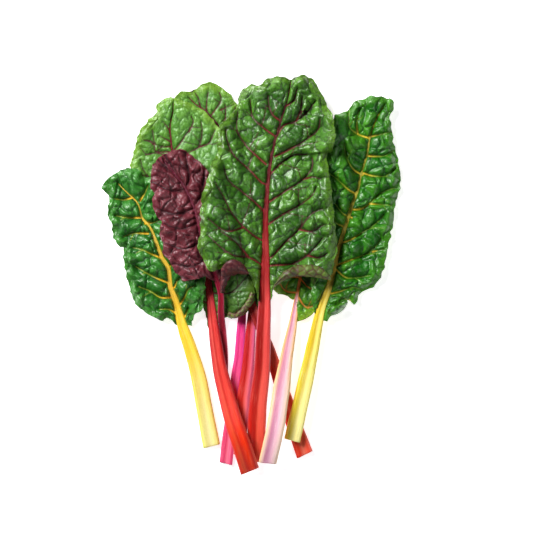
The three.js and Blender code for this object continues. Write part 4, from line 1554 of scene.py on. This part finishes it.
    def relief(self, fields: Fields) -> Array:
        """Height of the tissue over the line on which it lies: pillows, blisters, waves and the ruffled margin.

        Args:
            fields: where the veins, the margin and the blisters are.

        Returns:
            The height at every point.
        """
        leaf, form, plan = self.leaf, self.leaf.crumple, self.plan
        beside, room, lateral = fields.beside, fields.room, fields.lateral
        border = 0.35 + 0.65 * fade(room, 0.0, 7.0)
        pillow = dome(np.minimum(np.maximum(lateral, 0), beside), form.pillow_reach)
        blister = dome(fields.net, form.cell * 0.42) * fade(lateral, -0.3, 2.5)
        relief = form.pillow * pillow * border
        relief = relief + form.cell_height * blister * (0.75 + 0.5 * fields.tint) * border
        relief = relief + form.fine_height * fields.crinkle + 0.35 * fade(fields.twig, -0.2, 1.6)
        relief = relief + form.wave * (swell(plan, leaf.seed + 7, form.wavelength) * 0.5 + 0.5) * fade(beside, 0, 14)
        flutter = swell(plan, leaf.seed + 9, form.ruffle_length) * 0.6 + 0.6
        relief = relief + form.ruffle * flutter * (1 - fade(room, 0.0, 15.0)) * fade(beside, 2, 16)
        return relief + self.fold_step(plan) if len(leaf.step_line) else relief

    def pierced(self, relief: Array) -> tuple[Array, Array]:
        """Presses in the leaf's small holes, each with a raised rim.

        Args:
            relief: height of the tissue.

        Returns:
            The new height, and how sound the tissue is, from 0 in a hole to 1, which also paints each hole dark as
            shade through the relief trait.
        """
        sound = np.ones_like(relief)
        for x, y, size in self.leaf.holes:
            off = np.linalg.norm(self.plan - np.array([x, y]), axis=-1)
            relief = relief + 0.8 * fade(off, size * 2.5, size) - 3.0 * fade(off, size, size * 0.4)
            sound = sound * fade(off, size * 0.6, size)
        return relief, sound

    def turned(self, plan: Array) -> Array:
        """Places turned so that x runs along the side veins, which lean out from the midrib on both sides.

        Args:
            plan: the grid in plan.

        Returns:
            The turned places.
        """
        run = self.rib[-1] - self.rib[0]
        turned = np.zeros_like(plan)
        for columns, lean in ((self.side < 0, 0.85), (self.side >= 0, -0.85)):
            angle = np.arctan2(run[1], run[0]) + lean
            cosine, sine = np.cos(angle), np.sin(angle)
            x, y = plan[:, columns, 0], plan[:, columns, 1]
            turned[:, columns] = np.stack([x * cosine + y * sine, y * cosine - x * sine], axis=-1)
        return turned

    def fold_step(self, plan: Array) -> Array:
        """Height of the part beyond a crossing fold, which rides over the part before it.

        Args:
            plan: the grid in plan.

        Returns:
            The height to add.
        """
        line = smooth_curve(self.leaf.step_line, 40)
        gap = line_distance(plan, [line], NO_TAPER)[0]
        level = np.interp(plan[..., 0], line[:, 0], line[:, 1])
        signed = np.where(plan[..., 1] > level, gap, -gap)
        shown = fade(plan[..., 0], line[0, 0], line[0, 0] + 16)
        return self.fold_height * fade(signed, -0.8, 1.0) * (1 - fade(signed, 16, 46)) * shown

    def flap(self, design: Flap, pile: Pile) -> Shell:
        """One turned-over lobe, bulging between its fold and its free edge, over whatever lies below.

        Args:
            design: its two long edges and its bulge.
            pile: everything laid so far.

        Returns:
            The closed lobe.
        """
        long = int(curve_length(design.fold) / 0.9)
        fold, free = smooth_curve(design.fold, long), smooth_curve(design.free, long)
        wide = max(8, int(np.linalg.norm(fold[:, :2] - free[:, :2], axis=1).max() / 0.8))
        share = np.linspace(0, 1, wide)[None, :, None]
        points = fold[:, None] * (1 - share) + free[:, None] * share
        plan = points[..., :2]
        swing = np.sin(np.pi * np.linspace(0, 1, long))[:, None, None]
        plan = plan + 0.6 * drift(plan, self.leaf.seed + 50, 8) * swing * share
        net, tint = cell_edges(plan, design.cell, self.leaf.seed + 3, 1.3)
        blister = dome(net, design.cell * 0.45)
        bow = np.sin(np.pi * share[..., 0]) ** 0.7
        height = pile.bed(2, 1).at(plan) + points[..., 2] + design.crest * bow + self.flap_blister * blister * bow
        upper = np.concatenate([plan, height[..., None]], axis=-1)
        full = np.ones(plan.shape[:2])
        # Where the upper material shows, the relief trait paints shade along the flap's blister borders and light on
        # its blister tops.
        traits = {
            "relief": 0.2 + 0.7 * blister, "cell": tint, "foot": full,
            "room": np.minimum(share[..., 0], 1 - share[..., 0]) * 12 * full,
            "net": net, "lateral": full * 9.0, "outward": full * 0.5,
        }
        shell = sheet_shell(upper, self.thickness, traits)
        if design.under_up:
            shell.slots = 1 - shell.slots
        pile.add(upper, self.line.owner)
        return shell


class Bunch:
    """The whole bunch: lays the leaves one after another and makes two pieces of each."""

    def __init__(self) -> None:
        """Starts with a bare table and nothing laid."""
        self.pile = Pile()
        self.lines = {leaf.name: StalkBuilder(leaf, number + 1) for number, leaf in enumerate(LEAVES)}

    def grow(self) -> None:
        """Lays every leaf in order, then the lobes that reach over later leaves, and makes the pieces."""
        grown: list[tuple[Leaf, BladeBuilder, list[Shell]]] = []
        for leaf in LEAVES:
            line = self.lines[leaf.name]
            for name, limit in TUCKED.get(leaf.name, {}).items():
                self.lines[name].tuck(self.pile, limit)
            bare = Pile(self.pile.cell, self.pile.reach)
            bare.heights = self.pile.heights.copy()
            line.lay(self.pile)
            blade = BladeBuilder(leaf, line)
            shells = [blade.grow(bare)]
            self.pile.add(blade.upper, line.owner)
            shells += [blade.flap(design, self.pile) for design in leaf.flaps if not design.on_top]
            grown.append((leaf, blade, shells))
            LOG.info("%s lies up to %.1f mm", leaf.name, blade.upper[..., 2].max())
        for leaf, blade, shells in grown:
            shells += [blade.flap(design, self.pile) for design in leaf.flaps if design.on_top]
            stalk, skin = leaf.name + "_stalk", leaf.stalk_finish
            build_piece(stalk, [self.lines[leaf.name].shell()], [skin.skin(stalk), skin.face(stalk)])
            tissue = leaf.blade_finish
            build_piece(leaf.name + "_blade", shells, [tissue.upper(leaf.name), tissue.lower(leaf.name)])


# ---------------------------------------------------------------- the table, the light and the camera


@dataclass(frozen=True)
class Studio:
    """A pale, faintly glowing light table under one big soft light, seen from straight above. Lengths in metres."""

    table_side: float = 6.0
    key_spot: tuple[float, float, float] = (-1.16, 1.06, 1.4)
    key_size: float = 1.1
    key_power: float = 78.0
    fill_spot: tuple[float, float, float] = (1.1, -0.9, 0.95)
    fill_size: float = 1.3
    fill_power: float = 7.0
    sky: float = 0.06
    glow: float = 0.82
    camera_spot: tuple[float, float, float] = (0.0155, 0.009, 2.0)
    lens: float = 134.3

    def table(self) -> None:
        """Lays the table top, nearly white with a faint mottle."""
        half = self.table_side / 2
        mesh = bpy.data.meshes.new("table_top_mesh")
        mesh.from_pydata([(-half, -half, 0), (half, -half, 0), (half, half, 0), (-half, half, 0)], [], [(0, 1, 2, 3)])
        recipe = Recipe("table_top")
        cloud = recipe.noise(recipe.place(), 9.0, 4.0)
        grain = recipe.noise(recipe.place(), 420.0, 2.0)
        colour = recipe.mix(cloud, (240, 240, 242), (246, 246, 247))
        mesh.materials.append(recipe.finish({
            "Base Color": colour,
            "Roughness": 0.62 + grain * 0.1,
            "Normal": recipe.bump(grain, 0.0001),
            "Emission Color": colour,
            "Emission Strength": self.glow,
        }))
        floor = bpy.data.objects.new("table_top", mesh)
        bpy.context.scene.collection.objects.link(floor)

    def lights(self) -> None:
        """Hangs the soft key light above and left of the leaves' tips, a weak fill opposite, and a dim even sky."""
        self.lamp("key_light", self.key_spot, self.key_size, self.key_power)
        self.lamp("fill_light", self.fill_spot, self.fill_size, self.fill_power)
        world = bpy.data.worlds.new("sky")
        world.use_nodes = True
        shade = world.node_tree.nodes["Background"]
        shade.inputs["Color"].default_value = (0.96, 0.98, 1.0, 1.0)
        shade.inputs["Strength"].default_value = self.sky
        bpy.context.scene.world = world

    def lamp(self, name: str, spot: tuple[float, float, float], size: float, power: float) -> None:
        """Hangs one round soft light that faces the bunch.

        Args:
            name: name of the light.
            spot: where it hangs.
            size: how wide it is.
            power: its power in watts.
        """
        lamp = bpy.data.lights.new(name, "AREA")
        lamp.shape, lamp.size, lamp.energy = "DISK", size, power
        holder = bpy.data.objects.new(name, lamp)
        holder.location = spot
        holder.rotation_euler = (-Vector(spot)).to_track_quat("-Z", "Y").to_euler()
        bpy.context.scene.collection.objects.link(holder)

    def camera(self) -> None:
        """Puts the camera straight above, with the stalks at the bottom of the picture."""
        lens = bpy.data.cameras.new("camera")
        lens.lens, lens.sensor_width = self.lens, 36.0
        eye = bpy.data.objects.new("camera", lens)
        eye.location = self.camera_spot
        bpy.context.scene.collection.objects.link(eye)
        bpy.context.scene.camera = eye
        bpy.context.scene.view_settings.view_transform = "Standard"


def main() -> None:
    """Builds the bunch and its setting."""
    logging.basicConfig(level=logging.INFO, format="%(message)s")
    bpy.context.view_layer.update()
    Bunch().grow()
    studio = Studio()
    studio.table()
    studio.lights()
    studio.camera()
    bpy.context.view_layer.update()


if __name__ == "__main__":
    main()
